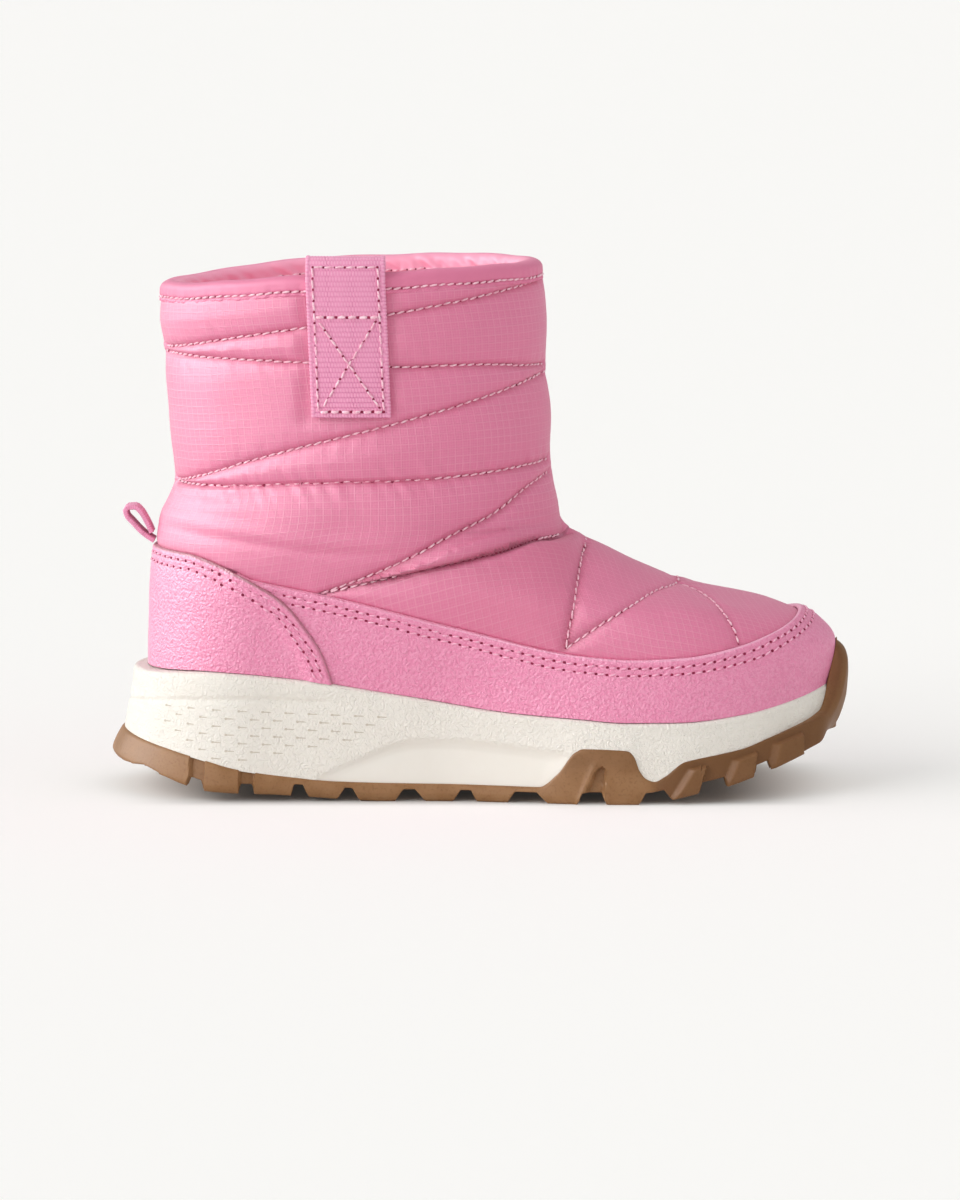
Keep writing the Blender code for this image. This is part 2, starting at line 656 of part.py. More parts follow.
def make_midsole(sole, material):
    """Foam wedge: a rim band, a step under it at the heel, and a scooped side at the waist."""
    flare = sole.flare
    low = np.minimum(sole.border, sole.feather - LEAST_MIDSOLE) + FIT_GAP
    drop = sole.feather - low
    step = STEP_DEPTH * (1.0 - soft_step(sole.x, STEP_FROM_X, STEP_TO_X))
    scoop = SCOOP_DEPTH * hump(sole.x, SCOOP_X, SCOOP_REACH)
    spread = flare["border"] - flare["rim"]
    rings = [
        sole.feather_ring(flare["rim"] - RIM_ROUND, 0.0),
        sole.feather_ring(flare["rim"], -RIM_ROUND),
        sole.ring(flare["rim"] + RIM_BAND_FLARE * spread, sole.feather - RIM_BAND * drop),
        sole.ring(flare["rim"] + RIM_BAND_FLARE * spread - step, sole.feather - STEP_MIDDLE * drop),
        sole.ring(flare["rim"] + STEP_FOOT_FLARE * spread, sole.feather - STEP_FOOT * drop),
        sole.ring(flare["rim"] + SCOOP_FLARE * spread - scoop, sole.feather - SCOOP_AT * drop),
        sole.ring(flare["border"] - SCOOP_AT_BORDER * scoop, low),
        sole.ring(flare["core"], low),
        sole.ring(flare["core"], np.minimum(sole.floor + FIT_GAP, low - FIT_GAP)),
    ]
    return capped_solid("midsole", rings, material)


def make_insole(sole, material):
    inset = -(FOOT_WALL + INSOLE_GAP)
    rings = [
        sole.feather_ring(inset - RIM_ROUND, FIT_GAP + INSOLE_THICK),
        sole.feather_ring(inset, FIT_GAP + INSOLE_THICK - RIM_ROUND),
        sole.feather_ring(inset, FIT_GAP),
    ]
    return capped_solid("insole", rings, material)


def hide_as_cutter(cutter):
    cutter.hide_render = True
    cutter.display_type = "WIRE"
    return cutter


def add_prism(mesh_data, corners, y_from, y_to):
    """Prism across the boot with its outline given as places and heights."""
    ends = [[mesh_data.verts.new((x * MM, y * MM, z * MM)) for x, z in corners] for y in (y_from, y_to)]
    mesh_data.faces.new(ends[0])
    mesh_data.faces.new(ends[1])
    bridge(mesh_data, ends[0], ends[1], True)


def trapezium(span):
    low_from, low_to, top_from, top_to, top = span
    slope_back = (top_from - low_from) / top
    slope_front = (top_to - low_to) / top
    low_back = low_from + slope_back * CUTTER_LOW
    low_front = low_to + slope_front * CUTTER_LOW
    return ((low_back, CUTTER_LOW), (low_front, CUTTER_LOW), (top_to, top), (top_from, top))


def make_groove_cutter(material):
    mesh_data = bmesh.new()
    for span in GROOVES:
        add_prism(mesh_data, trapezium(span), -CUTTER_REACH, CUTTER_REACH)
    return hide_as_cutter(new_object("groove_cutter", mesh_data, material))


def make_channel_cutter(material):
    mesh_data = bmesh.new()
    corners = (
        (CHANNEL_BACK_X, CUTTER_LOW), (CHANNEL_FRONT_X, CUTTER_LOW),
        (CHANNEL_FRONT_X, CUTTER_REACH), (CHANNEL_BACK_X, CUTTER_REACH),
    )
    for middle in (-CHANNEL_Y, CHANNEL_Y):
        add_prism(mesh_data, corners, middle - CHANNEL_HALF, middle + CHANNEL_HALF)
    return hide_as_cutter(new_object("channel_cutter", mesh_data, material))


def make_slot_cutter(material):
    """Upright slot in the outside of each side tab."""
    mesh_data = bmesh.new()
    middle = (SLOT[0] + SLOT[1]) / 2.0
    for side in (-1.0, 1.0):
        width = float(half_width(middle, line_height(FEATHER, middle), side))
        face = float(centre_line(middle)) + side * (width + SLOT_FLOOR)
        add_prism(mesh_data, trapezium(SLOT), *sorted((face, side * CUTTER_REACH)))
    return hide_as_cutter(new_object("slot_cutter", mesh_data, material))


def cut_or_join(target, other, operation):
    modifier = target.modifiers.new(other.name, "BOOLEAN")
    modifier.operation = operation
    modifier.solver = "EXACT"
    modifier.use_self = operation == "UNION"
    modifier.object = other


def make_lugs(sole, material):
    """Tread blocks in one layer, standing a little proud of the tray that they join."""
    flare = sole.flare
    top = line_height(LUG_TOP, sole.x)
    inside = sole.bottom + LUG_DEPTH + TREAD_BASE / 2.0
    shoulder = (flare["lip"] + flare["wall_top"]) / 2.0
    rings = [
        sole.ring(shoulder, np.minimum(inside, top - SHORTEST_RIM)),
        sole.ring(shoulder, top),
        sole.ring(flare["wall_top"] + LUG_PROUD, top),
        sole.ring(flare["wall"], sole.bottom + LUG_BULGE_HEIGHT),
        sole.ring(flare["foot"], sole.bottom),
    ]
    lugs = hide_as_cutter(capped_solid("lugs", rings, material))
    cut_or_join(lugs, make_groove_cutter(material), "DIFFERENCE")
    cut_or_join(lugs, make_channel_cutter(material), "DIFFERENCE")
    return lugs


def make_outsole(sole, material):
    """Rubber tray that wraps the midsole, with side tabs, toe bumper and tread blocks."""
    flare = sole.flare
    tread = sole.bottom + LUG_DEPTH
    rings = [
        sole.ring(flare["core"] + FIT_GAP, sole.floor),
        sole.ring(flare["lip"], sole.border),
        sole.ring(flare["wall_top"], sole.border),
        sole.ring(flare["wall"] - LUG_PROUD, tread + WALL_BULGE * (sole.border - tread)),
        sole.ring(flare["foot"] - LUG_PROUD, tread),
    ]
    outsole = capped_solid("outsole", rings, material)
    cut_or_join(outsole, make_lugs(sole, material), "UNION")
    cut_or_join(outsole, make_slot_cutter(material), "DIFFERENCE")
    return outsole


def main():
    remove_everything()
    sole = SoleOutline()
    leather = make_material("coated_leather")
    make_outsole(sole, make_material("gum_rubber"))
    make_midsole(sole, make_material("midsole_foam"))
    make_insole(sole, make_material("insole_fleece"))
    make_upper(make_material("quilted_fabric"))
    make_mudguard(leather)
    make_counter(leather)
    make_binding(make_material("binding_tape"))
    make_pull_tab(make_material("tab_webbing"))
    make_heel_loop(make_material("loop_ribbon"))


main()
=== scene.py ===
"""Looks of the quilted snow boot: fine surfaces, stitching, materials, light and camera.

Sizes are millimetres in the boot's own frame, as in the part's source, whose last, lines and seams
are repeated here: x runs from heel to toe, y from the outer side (negative) to the inner side, z up.
"""

import math

import bmesh
import bpy
import numpy as np
from mathutils.kdtree import KDTree
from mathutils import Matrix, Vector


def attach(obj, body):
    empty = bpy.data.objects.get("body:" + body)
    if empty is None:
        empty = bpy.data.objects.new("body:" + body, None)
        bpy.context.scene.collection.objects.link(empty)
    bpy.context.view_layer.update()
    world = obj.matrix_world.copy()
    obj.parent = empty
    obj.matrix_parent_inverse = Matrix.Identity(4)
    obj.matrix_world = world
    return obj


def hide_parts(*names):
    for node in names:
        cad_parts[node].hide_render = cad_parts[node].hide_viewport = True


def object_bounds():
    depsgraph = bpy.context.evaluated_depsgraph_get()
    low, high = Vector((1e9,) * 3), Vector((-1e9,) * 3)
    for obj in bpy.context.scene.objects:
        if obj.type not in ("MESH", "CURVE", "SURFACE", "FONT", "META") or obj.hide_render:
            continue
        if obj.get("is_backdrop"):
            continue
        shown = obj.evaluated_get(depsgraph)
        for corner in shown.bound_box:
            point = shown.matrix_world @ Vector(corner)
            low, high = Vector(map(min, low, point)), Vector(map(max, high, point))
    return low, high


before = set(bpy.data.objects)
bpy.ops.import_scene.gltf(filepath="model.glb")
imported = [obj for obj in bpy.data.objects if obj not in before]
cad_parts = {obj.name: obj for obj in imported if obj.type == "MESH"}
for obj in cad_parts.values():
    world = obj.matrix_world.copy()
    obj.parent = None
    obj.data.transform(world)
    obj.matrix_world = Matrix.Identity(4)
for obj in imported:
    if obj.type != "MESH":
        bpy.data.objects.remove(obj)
CAD_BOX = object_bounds()

MM = 0.001
FIT_GAP = 0.3
TINY = 1e-6
BODY = "root"
RANDOM = np.random.default_rng(11)

# Camera and light
CAMERA_PLACE = (0.0, -1.6, 0.271)
CAMERA_PITCH = 7.63
CAMERA_LENS = 158.6
SENSOR = 36.0
FLOOR_HALF = 30.0
# Lights: name, direction towards it, strength, spread in degrees, and whether it gives more than gloss
SUNS = (
    ("key_light", (-0.86, -0.36, 0.40), 2.15, 60.0, True),
    ("top_light", (0.30, -0.25, 0.92), 0.2, 90.0, True),
    ("right_fill", (0.93, -0.10, 0.35), 0.35, 90.0, True),
    ("front_gloss", (-0.66, -0.75, 0.05), 2.8, 60.0, False),
    ("side_gloss", (-0.95, 0.05, 0.30), 8.0, 60.0, False),
)
WORLD_COLOUR = (0.95, 0.95, 0.95)
WORLD_STRENGTH = 0.58
FLOOR_COLOUR = (0.66, 0.655, 0.64)
FLOOR_GLOW = (0.335, 0.332, 0.325)
# Painted shadow on the floor under the sole: its reach along, its reach across, and how much glow it takes
SOLE_SHADOW_X = (0.070, 0.112)
SOLE_SHADOW_Y = (0.033, 0.043)
SOLE_PAINTED_SHADOW = 0.95

# Last and lines of the boot, as in the part's source
LAST_COLUMNS = ("height", "back", "front", "back_round", "front_round", "heel", "waist", "ball", "toe")
LAST = (
    (20.0, -98.5, 103.0, 30.0, 52.0, 27.2, 27.6, 36.0, 35.5),
    (32.0, -99.5, 105.2, 30.0, 52.0, 27.8, 28.6, 36.5, 36.0),
    (44.0, -99.4, 107.0, 31.0, 54.0, 29.0, 31.2, 37.0, 36.5),
    (50.0, -99.2, 102.5, 32.0, 57.0, 29.8, 32.6, 37.0, 36.5),
    (56.0, -99.0, 90.0, 34.0, 60.0, 30.8, 34.0, 36.8, 36.5),
    (60.0, -98.9, 71.0, 35.0, 62.0, 31.5, 35.0, 36.6, 36.0),
    (65.0, -98.6, 53.0, 37.0, 62.0, 32.3, 36.0, 36.5, 36.0),
    (70.0, -98.2, 41.0, 40.0, 60.0, 33.3, 37.0, 37.0, 36.5),
    (75.0, -97.5, 32.0, 43.0, 56.0, 34.6, 38.0, 38.0, 37.5),
    (78.0, -96.6, 26.2, 45.0, 54.0, 35.5, 38.4, 38.4, 38.0),
    (82.0, -95.3, 22.6, 47.0, 54.0, 36.5, 38.8, 38.8, 38.8),
    (95.0, -91.2, 20.6, 54.0, 55.0, 39.2, 39.8, 39.8, 39.8),
    (115.0, -92.0, 19.2, 56.0, 56.0, 40.3, 40.5, 40.5, 40.5),
    (135.0, -94.4, 18.5, 56.0, 56.0, 40.9, 41.0, 41.0, 41.0),
    (162.0, -97.0, 17.6, 56.5, 56.5, 42.0, 42.0, 42.0, 42.0),
)
HEEL_X = -70.0
WAIST_X = -15.0
BALL_X = 45.0
TOE_X = 85.0
TOE_SWING = 3.5
SWING_FROM_X = -20.0
SWING_TO_X = 105.0
ARCH_CUT = 3.0
ARCH_REACH = 48.0
ARCH_LOW = 34.0
ARCH_HIGH = 62.0
END_LIMITS = {"back": (-115.0, -60.0), "front": (-20.0, 115.0)}
COUNTER_LIMITS = (-97.0, -43.0)
BISECT_STEPS = 40
FEATHER = (
    (-99.5, 37.4), (-82.0, 38.6), (-54.0, 36.5), (-25.5, 32.1), (9.0, 26.7),
    (30.0, 25.2), (44.0, 24.2), (60.0, 24.2), (79.0, 25.9), (95.5, 29.3), (105.0, 31.9),
)
MUDGUARD_TOP = (
    (-70.0, 67.5), (-38.0, 60.9), (-7.0, 52.9), (30.0, 44.6), (46.0, 43.4),
    (61.0, 43.9), (76.0, 46.2), (88.0, 49.5), (96.5, 53.0), (102.0, 57.0),
)
COUNTER_TOP = (
    (-105.0, 74.4), (-88.0, 73.9), (-74.0, 69.7), (-66.0, 65.8), (-58.0, 60.2),
    (-52.0, 52.8), (-47.0, 44.4), (-43.0, 32.0),
)
COLLAR = (
    (-97.0, 154.5), (-85.0, 155.5), (-72.0, 157.0), (-50.0, 158.9), (-27.0, 159.7), (0.0, 160.8),
    (19.0, 161.0),
)
SOLE_BOTTOM = (
    (-99.5, 9.3), (-94.0, 6.6), (-88.0, 4.5), (-83.0, 3.0), (-73.0, 2.4), (-62.0, 2.0), (-51.0, 1.3),
    (-38.0, 0.4), (-28.0, 0.0), (50.0, 0.0), (58.0, 1.7), (66.0, 3.5), (73.5, 5.0), (81.0, 7.3),
    (85.0, 8.6), (94.0, 12.2), (98.5, 14.2), (105.0, 17.6),
)
LUG_TOP = (
    (-99.5, 17.2), (-89.0, 13.6), (-73.5, 9.0), (-57.0, 6.5), (-40.0, 5.3), (15.0, 4.5),
    (50.0, 6.0), (61.0, 10.8), (67.0, 11.8), (73.5, 12.8), (81.0, 15.0), (85.0, 16.6), (93.5, 19.5),
    (105.0, 23.5),
)
BORDER = (
    (-99.5, 18.5), (-95.5, 16.9), (-89.0, 14.8), (-81.0, 12.4), (-73.5, 10.0), (-67.0, 8.7),
    (-57.0, 7.4), (-43.0, 6.0), (-10.0, 5.2), (18.3, 4.9), (23.8, 8.9), (29.0, 15.7), (31.4, 16.8),
    (44.0, 16.3), (46.0, 14.5), (47.5, 10.5), (49.5, 7.9), (52.0, 7.0), (55.0, 8.5), (60.5, 12.7),
    (64.0, 13.5), (70.5, 14.6), (78.0, 16.0), (85.0, 18.4), (92.0, 20.7), (97.5, 22.6), (101.0, 24.4),
    (105.0, 26.0),
)
BUMPER_TOP = 44.8
BUMPER_REACH = 14.5
SOLE_COLUMNS = ("along", "rim", "border", "core", "lip", "wall_top", "wall", "foot")
SOLE_FLARE = (
    (-99.5, 6.2, 9.3, 6.6, 6.9, 9.8, 13.0, 10.8),
    (-88.0, 4.6, 6.8, 4.2, 4.5, 7.3, 9.2, 7.4),
    (-60.0, 3.4, 4.5, 2.0, 2.3, 4.9, 5.6, 4.7),
    (-10.0, 3.1, 4.0, 1.6, 1.9, 4.4, 5.0, 4.2),
    (45.0, 3.0, 4.0, 1.6, 1.9, 4.5, 5.2, 4.4),
    (80.0, 2.8, 3.4, 1.6, 1.9, 4.4, 5.6, 4.6),
    (95.0, 2.4, 2.6, 1.9, 2.3, 5.0, 6.8, 4.8),
    (102.0, 2.3, 2.4, 2.0, 4.2, 6.6, 8.4, 4.2),
    (105.2, 2.3, 2.4, 2.0, 4.4, 6.6, 8.4, 4.0),
)
# Grooves: from and to at the tread, from and to at the top, and the height of the top
GROOVES = (
    (-87.7, -83.4, -86.6, -82.4, 30.0),
    (-72.5, -68.0, -71.4, -66.9, 30.0),
    (-56.8, -51.5, -55.9, -53.2, 3.7),
    (-42.9, -36.3, -40.6, -38.3, 3.7),
    (-25.6, -16.4, -23.1, -19.5, 3.7),
    (-8.1, -0.9, -5.8, -2.7, 3.5),
    (8.3, 20.3, 10.5, 17.1, 3.4),
    (29.4, 38.0, 30.6, 36.3, 3.6),
    (47.7, 57.4, 49.6, 55.0, 3.7),
    (65.8, 73.7, 67.6, 71.6, 30.0),
    (82.4, 86.8, 82.0, 86.0, 40.0),
    (97.6, 100.6, 96.4, 99.4, 50.0),
)
# Seams as places and heights, where points past the outline are left out. The upper ends of vamp_back
# and vamp_fall run on to the crest, a little past those in the part's source
SEAMS = {
    "collar_slant": ((-99.0, 134.0), (-71.0, 140.0), (-28.0, 147.0), (-4.0, 151.0), (24.0, 156.6)),
    "shaft_level": ((-99.0, 133.5), (-51.0, 132.9), (-26.0, 131.6), (-4.0, 131.6), (26.0, 128.6)),
    "shaft_slant": ((26.0, 129.4), (6.0, 123.0), (-18.0, 116.5), (-62.0, 104.9), (-99.0, 91.4)),
    "ankle_level": (
        (-99.0, 93.4), (-78.0, 94.7), (-48.0, 96.9), (-21.0, 97.7), (0.0, 98.9), (12.0, 100.0),
        (26.0, 101.0),
    ),
    "ankle_slant": (
        (28.0, 99.6), (15.0, 94.2), (4.5, 87.0), (-9.0, 80.6), (-24.0, 72.8), (-38.0, 66.7), (-48.0, 62.9),
    ),
    "instep_fold": ((-48.0, 62.9), (-23.0, 69.2), (6.0, 75.4), (19.0, 78.0), (34.0, 78.0)),
    "vamp_back": (
        (33.0, 79.0), (32.4, 76.0), (30.8, 72.4), (29.8, 68.6), (27.7, 57.6), (26.7, 52.9), (25.5, 46.5),
    ),
    "vamp_rise": ((25.5, 46.5), (30.5, 50.2), (38.0, 55.2), (45.8, 59.3), (53.9, 62.2), (62.0, 62.8)),
    "vamp_fall": (
        (61.0, 62.3), (64.0, 61.4), (67.5, 60.1), (71.7, 57.6), (74.9, 53.8), (76.8, 50.2), (77.7, 47.0),
    ),
}
PUFF = 2.3
PUFF_SPAN = 13.0
FLATTER_FROM_X = 15.0
FLATTER_TO_X = 75.0
FLATTER_BY = 0.9
FOOT_WALL = 3.0
SHAFT_WALL = 5.0
COVER_RECESS = 0.55
VAMP_SPAN = 0.30
MUDGUARD_THICK = 1.5
COUNTER_THICK = 1.7
BINDING_HEIGHT = 5.5
BINDING_PROUD = 1.1
INSOLE_THICK = 4.0
INSOLE_GAP = 0.6
TAB_BACK_X = -50.6
TAB_FRONT_X = -27.4
TAB_LOW = 116.8
TAB_SHOULDER = 157.5
TAB_TOP = 163.6
TAB_INSIDE_LOW = 146.0
TAB_THICK = 1.4
TAB_LIFT = 1.4
TAB_PRESS = 0.35
TAB_MARGIN = 5.0
LOOP_PATH = (
    (-99.1, 75.3), (-102.4, 77.6), (-105.5, 80.8), (-107.5, 83.2), (-107.8, 84.5), (-106.8, 85.5),
    (-105.0, 85.6), (-103.1, 84.1), (-101.6, 81.6), (-100.3, 78.9), (-99.9, 77.8),
)
LOOP_WIDTH = 8.0
LOOP_THICK = 1.1
LUG_DEPTH = 3.0
TREAD_BASE = 2.0
SHORTEST_RIM = 0.6
LUG_BULGE_HEIGHT = 2.6
LEAST_MIDSOLE = 3.0
TUCK = 0.3
CHANNEL_Y = 13.0
CHANNEL_HALF = 2.6
CHANNEL_BACK_X = -84.0
CHANNEL_FRONT_X = 84.0

# Fine surface of the upper: rows under the overlays, over the vamp and up the shaft
UPPER_COLUMNS = 400
EDGE_COLUMNS = 3 * UPPER_COLUMNS
UPPER_ROWS = (8, 80, 92)
SHELL_THICK = 1.9
SHELL_BACK_STEP = 14
SEAM_SPACING = 0.35
SEAM_FLOOR = 0.45
SEAM_DIP = 0.40
SEAM_HALF = 0.8
TOP_EDGE_LIFT = 0.8
LOW_EDGE = 0.7
EDGE_PUFF = 0.25
SWAY_DEPTH = 0.35
SWAY_LENGTH = 34.0
SWAY_SEED = 5
SWAY_FADE = 8.0
CLOTH_TURN = 12.0
RIDGE_ROWS = LAST[9:3:-1]

# Puckers along the seams, with the length of each wave and the length over which it drifts
PUCKER_DEPTH = 0.34
PUCKER_SEAMS = {"ankle_level": 1.3, "shaft_slant": 0.7, "collar_slant": 0.8, "shaft_level": 0.8}
PUCKER_ELSEWHERE = 0.6
PUCKER_REACH = 3.4
PUCKER_WAVES = ((4.7, 9.0), (6.9, 13.0), (11.3, 17.0))
PUCKER_SLANT = 0.5
PUCKER_SHIFT = 2.3
PUCKER_DRIFT = 1.7

# Fold over the instep: a lip above its seam, a dent below, a notch at the ankle's front, and painted shade
FOLD_SEAM = "instep_fold"
FOLD_FADE = 20.0
FOLD_WEAK_X = (6.0, 20.0)
FOLD_WEAK_BY = 0.75
FOLD_RISE = 1.5
FOLD_LIP = 1.1
FOLD_FALL = (1.5, 10.0)
FOLD_LOW = 0.12
FOLD_LOW_REACH = 3.5
FOLD_HIDDEN = (-24.0, 17.5)
FOLD_ENDS_X = 24.5
FOLD_PAINTED_SHADE = 0.45
FOLD_PAINTED_SHADE_REACH = 2.2
# Painted shadow in the fold: a dark cord, with its lead, pitch, length, half width and flattening
SHADOW_LEAD = 4.0
SHADOW_PITCH = 0.8
SHADOW_LENGTH = 2.4
SHADOW_HALF = 0.30
SHADOW_FLATTEN = 0.6
NOTCH_DEPTH = 1.1
NOTCH_HALF = 2.6
NOTCH_FROM_X = (15.0, 22.0)
VAMP_PAINTED_SHADE = 0.26
VAMP_PAINTED_SHADE_X = ((-25.0, 10.0), (24.0, 34.0))
VAMP_PAINTED_SHADE_DROP = 4.0

# Seam whose stitches lie sunk between two puffs
SUNK_SEAM = "ankle_level"
SUNK_X = (-82.0, -14.0)
SUNK_LIFT = -0.14

# Creases of the outer side: places and heights along the crease, depth of the trough, its half
# width, and the height of the ridge above it
CREASES = (
    (
        ((-92.0, 80.4), (-76.0, 79.2), (-60.0, 77.6), (-46.0, 76.3), (-33.0, 76.0), (-22.0, 75.8)),
        0.55, 1.7, 0.35,
    ),
    (((-93.0, 87.0), (-80.0, 85.2), (-66.0, 84.4)), 0.3, 2.0, 0.2),
    (((-7.2, 79.6), (6.0, 81.3), (21.0, 82.4)), 0.6, 1.3, 0.4),
    (((0.0, 84.4), (11.9, 85.0), (20.0, 85.6)), 0.55, 1.2, 0.4),
    (((8.0, 88.2), (14.0, 88.4), (20.0, 88.4)), 0.4, 1.1, 0.3),
    (((-88.0, 90.5), (-76.0, 91.0), (-62.0, 92.6)), 0.4, 1.6, 0.3),
    (((-23.6, 151.5), (-22.8, 147.5)), 0.45, 1.3, 0.35),
    (((-15.5, 152.5), (-14.6, 149.2)), 0.45, 1.2, 0.35),
    (((30.0, 70.5), (34.0, 66.0), (40.0, 62.0)), 0.4, 2.6, 0.3),
)
CREASE_SAMPLES = 60
CREASE_FADE = 2.5
CREASE_INNER = 0.55

# Pile of the lining, with the height, length and seed of its waves
PILE_WAVES = ((0.45, 5.0, 21), (0.35, 2.6, 22))
PILE_ENDS = (1.84, 1.93)
LINING_COLUMNS = 250
LINING_ROWS = (16, 29, 47)
LINING_FROM = 0.05
LINING_BACK_STEP = 3
INSOLE_PILE = (0.25, 4.0, 31)
INSOLE_COLUMNS = 60

# Stitches: length, gap, half thickness of the thread, half width of a needle hole, slant
QUILT_STITCH = (2.5, 0.46, 0.30, 0.32, 0.16)
SUNK_STITCH = (2.3, 0.70, 0.27, 0.46, 0.16)
LEATHER_STITCH = (2.0, 1.2, 0.30, 0.46, 0.24)
BINDING_STITCH = (2.35, 0.45, 0.30, 0.28, 0.16)
TAB_STITCH = (2.6, 0.65, 0.30, 0.36, 0.10)
TAB_CROSS_STITCH = (2.3, 0.95, 0.50, 0.46, 0.06)
MUDGUARD_ROWS = (2.4, 4.6)
COUNTER_ROWS = (2.2, 4.5)
QUILT_LIFT = 0.16
BINDING_LIFT = 0.16
TAB_STITCH_LIFT = 0.12
LEATHER_LIFT = 0.10
STITCH_WOBBLE = 0.03
STITCH_HUMP = 0.5
STITCH_TWIST = 0.13
PLY_TURN = 5.5
HOLE_LIFT = 0.04
HOLE_FLATTEN = 0.25
BAR_RINGS = (-0.95, -0.78, -0.4, 0.0, 0.4, 0.78, 0.95)
BAR_SIDES = 8
FLAT_BAR_RINGS = (-0.93, -0.6, 0.0, 0.6, 0.93)
FLAT_BAR_SIDES = 6

# Collar tape: heights of its sides, the stitched row, its crown, and the gathers and slack folds in it
BINDING_COLUMNS = 480
BINDING_LEVELS = (1.96, 2.0)
BINDING_SIDES = (-0.7, -0.6, -0.35, -0.1, 0.2, 0.5, 0.8, 1.1, 1.4, 1.8, 2.2, 2.6)
BINDING_ROW = 6
BINDING_HEM = 0.5
BINDING_DRAW = 0.38
BINDING_DRAW_HALF = 0.42
BINDING_CROWN = 3.0
BINDING_CROWN_RINGS = 25
BINDING_PAINTED_SHADE = 0.5
GATHER = 0.16
GATHER_LENGTHS = (3.0, 7.3)
GATHER_FADE = 4.5
SLACK = 0.30
SLACK_TOP = 0.4
SLACK_LENGTHS = (6.1, 9.7)
SLACK_SLANT = 1.4
BINDING_WAVE = 0.12
BINDING_WAVE_LENGTH = 23.0

# Webbing of the tab and the loop
TAB_BOX_TOP = 146.6
TAB_BOX_LOW = 118.6
TAB_STITCH_IN = 2.0
TAB_TOP_ROW = 161.6
TAB_LEAN = 1.9
TAB_RIB = 1.5
TAB_FLOAT = 0.9
LOOP_FLOAT = 1.6
LOOP_RIB = 0.95
TAB_COLUMNS = 101
TAB_ROWS_PER_RIB = 6.0
TAB_TURN_ROWS = 76
TAB_CROSS_IN = 1.2
TAB_RUN_POINTS = 80
TAB_SAMPLE = (20, 20, 1)
LOOP_ROWS = 110
LOOP_COLUMNS = 22
SELVAGE = (0.75, 1.15)
SELVAGE_RISE = 0.14
SELVAGE_BEAD = 0.7
WEAVE_RISE = 0.28
RIBBON_ROUND = 0.55
KNOT_OUT = 0.16
KNOT_EDGE = 0.25

# Leather overlays
OVERLAY_ROWS = 46
OVERLAY_LOW = 0.002
MUDGUARD_COLUMNS = 420
COUNTER_COLUMNS = 240
EDGE_BEVEL = 1.3
EDGE_SHOWN = 0.75
COUNTER_OVERLAP = 4.0
EDGE_LEAST = 0.2
STITCH_DRAW = 0.22
STITCH_DRAW_HALF = 0.55
LAP_GAP = 0.1
LAP_FADE = (COUNTER_OVERLAP + 0.5, COUNTER_OVERLAP + 5.0)
LAP_THINNING = 0.25
COUNTER_RUN_X = (-43.2, -104.0)
COUNTER_RUN_POINTS = 400

# Sole details
OUTSOLE_STATIONS = 1160
OUTSOLE_WALL_ROWS = 36
TREAD_COLUMNS = 30
INSOLE_STATIONS = 300
MIDSOLE_STATIONS = 660
MIDSOLE_ROWS = 88
RIM_SHARES = (0.0, 0.004, 0.010, 0.018, 0.028, 0.042, 0.06)
STEEP_SHARES = (0.08, 0.4, 26)
RIM_INSET = 1.5
RIM_ROUND = 1.1
RIM_REACH = 1.3
SIDE_PROFILE = ((0.0, 0.0), (0.3, 0.1), (0.4, 0.3), (0.72, 0.7), (1.0, 1.0))
SIDE_BULGE = 0.25
SCOOP_LINE = (
    (-49.0, 7.8), (-40.0, 11.6), (-32.0, 15.2), (-24.5, 17.9), (-18.5, 19.0), (-9.0, 19.0),
    (4.0, 18.1), (18.0, 16.6), (29.0, 15.4),
)
SCOOP_DEPTH = 1.2
SCOOP_EDGE = (-1.0, 3.8)
SCOOP_SHADE_EDGE = (-0.5, 2.0)
SCOOP_FADE = (0.55, 1.0)
SCOOP_FADE_BY = 0.7
STEP_LINE = ((-99.0, 27.6), (-92.0, 29.4), (-83.5, 30.4), (-70.0, 31.0), (-54.7, 30.5), (-43.3, 29.6))
STEP_DEPTH = 0.55
STEP_DROP = 0.2
STEP_HALF = 0.8
STEP_FADE = (-52.0, -40.0)
# Dashes at the heel are dark bars, painted shadows of moulded dashes
DASH_ROWS = (
    (-92.5, -28.9), (-93.0, -32.4), (-92.5, -36.0), (-90.0, -39.3),
    (-88.0, -49.8), (-85.0, -60.0), (-82.0, -70.6),
)
DASH_TOP = 27.2
DASH_AT_X = -67.8
DASH_FALL = 0.045
DASH_ROW_PITCH = 2.45
DASH_FIRST = -29.4
DASH_PITCH = 6.93
DASH_LENGTH = 3.1
DASH_SHORT = 0.7
DASH_SLIP = 0.6
DASH_SHORT_FROM = -80.0
DASH_HALF = 0.17
DASH_END = 0.9
DASH_END_HALF = 0.34
SLOT_LOW = (31.0, 36.8, 2.0)
SLOT_TOP = (35.2, 38.0, 11.6)
SLOT_DEPTH = 1.9
SLOT_RIDGE = 0.5
SLOT_ROUND = 2.4
SLOT_EDGE = (0.70, 1.10)
SLOT_RIDGE_TOP = (SLOT_TOP[2] - 1.0, SLOT_TOP[2] + 2.5)
HEEL_GAPS = GROOVES[:2]
FRONT_BLOCKS = (
    (56.0, 65.6, 62.6, 68.1), (71.8, 82.0, 75.6, 83.3), (85.9, 97.4, 88.0, 97.4),
)
BLOCKS_FROM_X = (50.0, 54.0)
BLOCK_CHAMFER = 2.2
BLOCK_EDGE = 0.5
BLOCK_PROUD = 1.5
FRONT_GAP_DEPTH = 0.2
HEEL_GAP_DEPTH = 1.6
TOOTH_PITCH = 4.4
TOOTH_HEIGHT = 0.4
TOOTH_ENDS_X = (-94.0, -90.0)
GROOVE_ENDS_X = (92.0, 95.0)
STEEPEST = 0.12
TALL_GROOVE = 10.0
CHANNEL_SLOPE = 0.35
LIP_MOST = 2.3
LIP_AT_TOE = 1.4
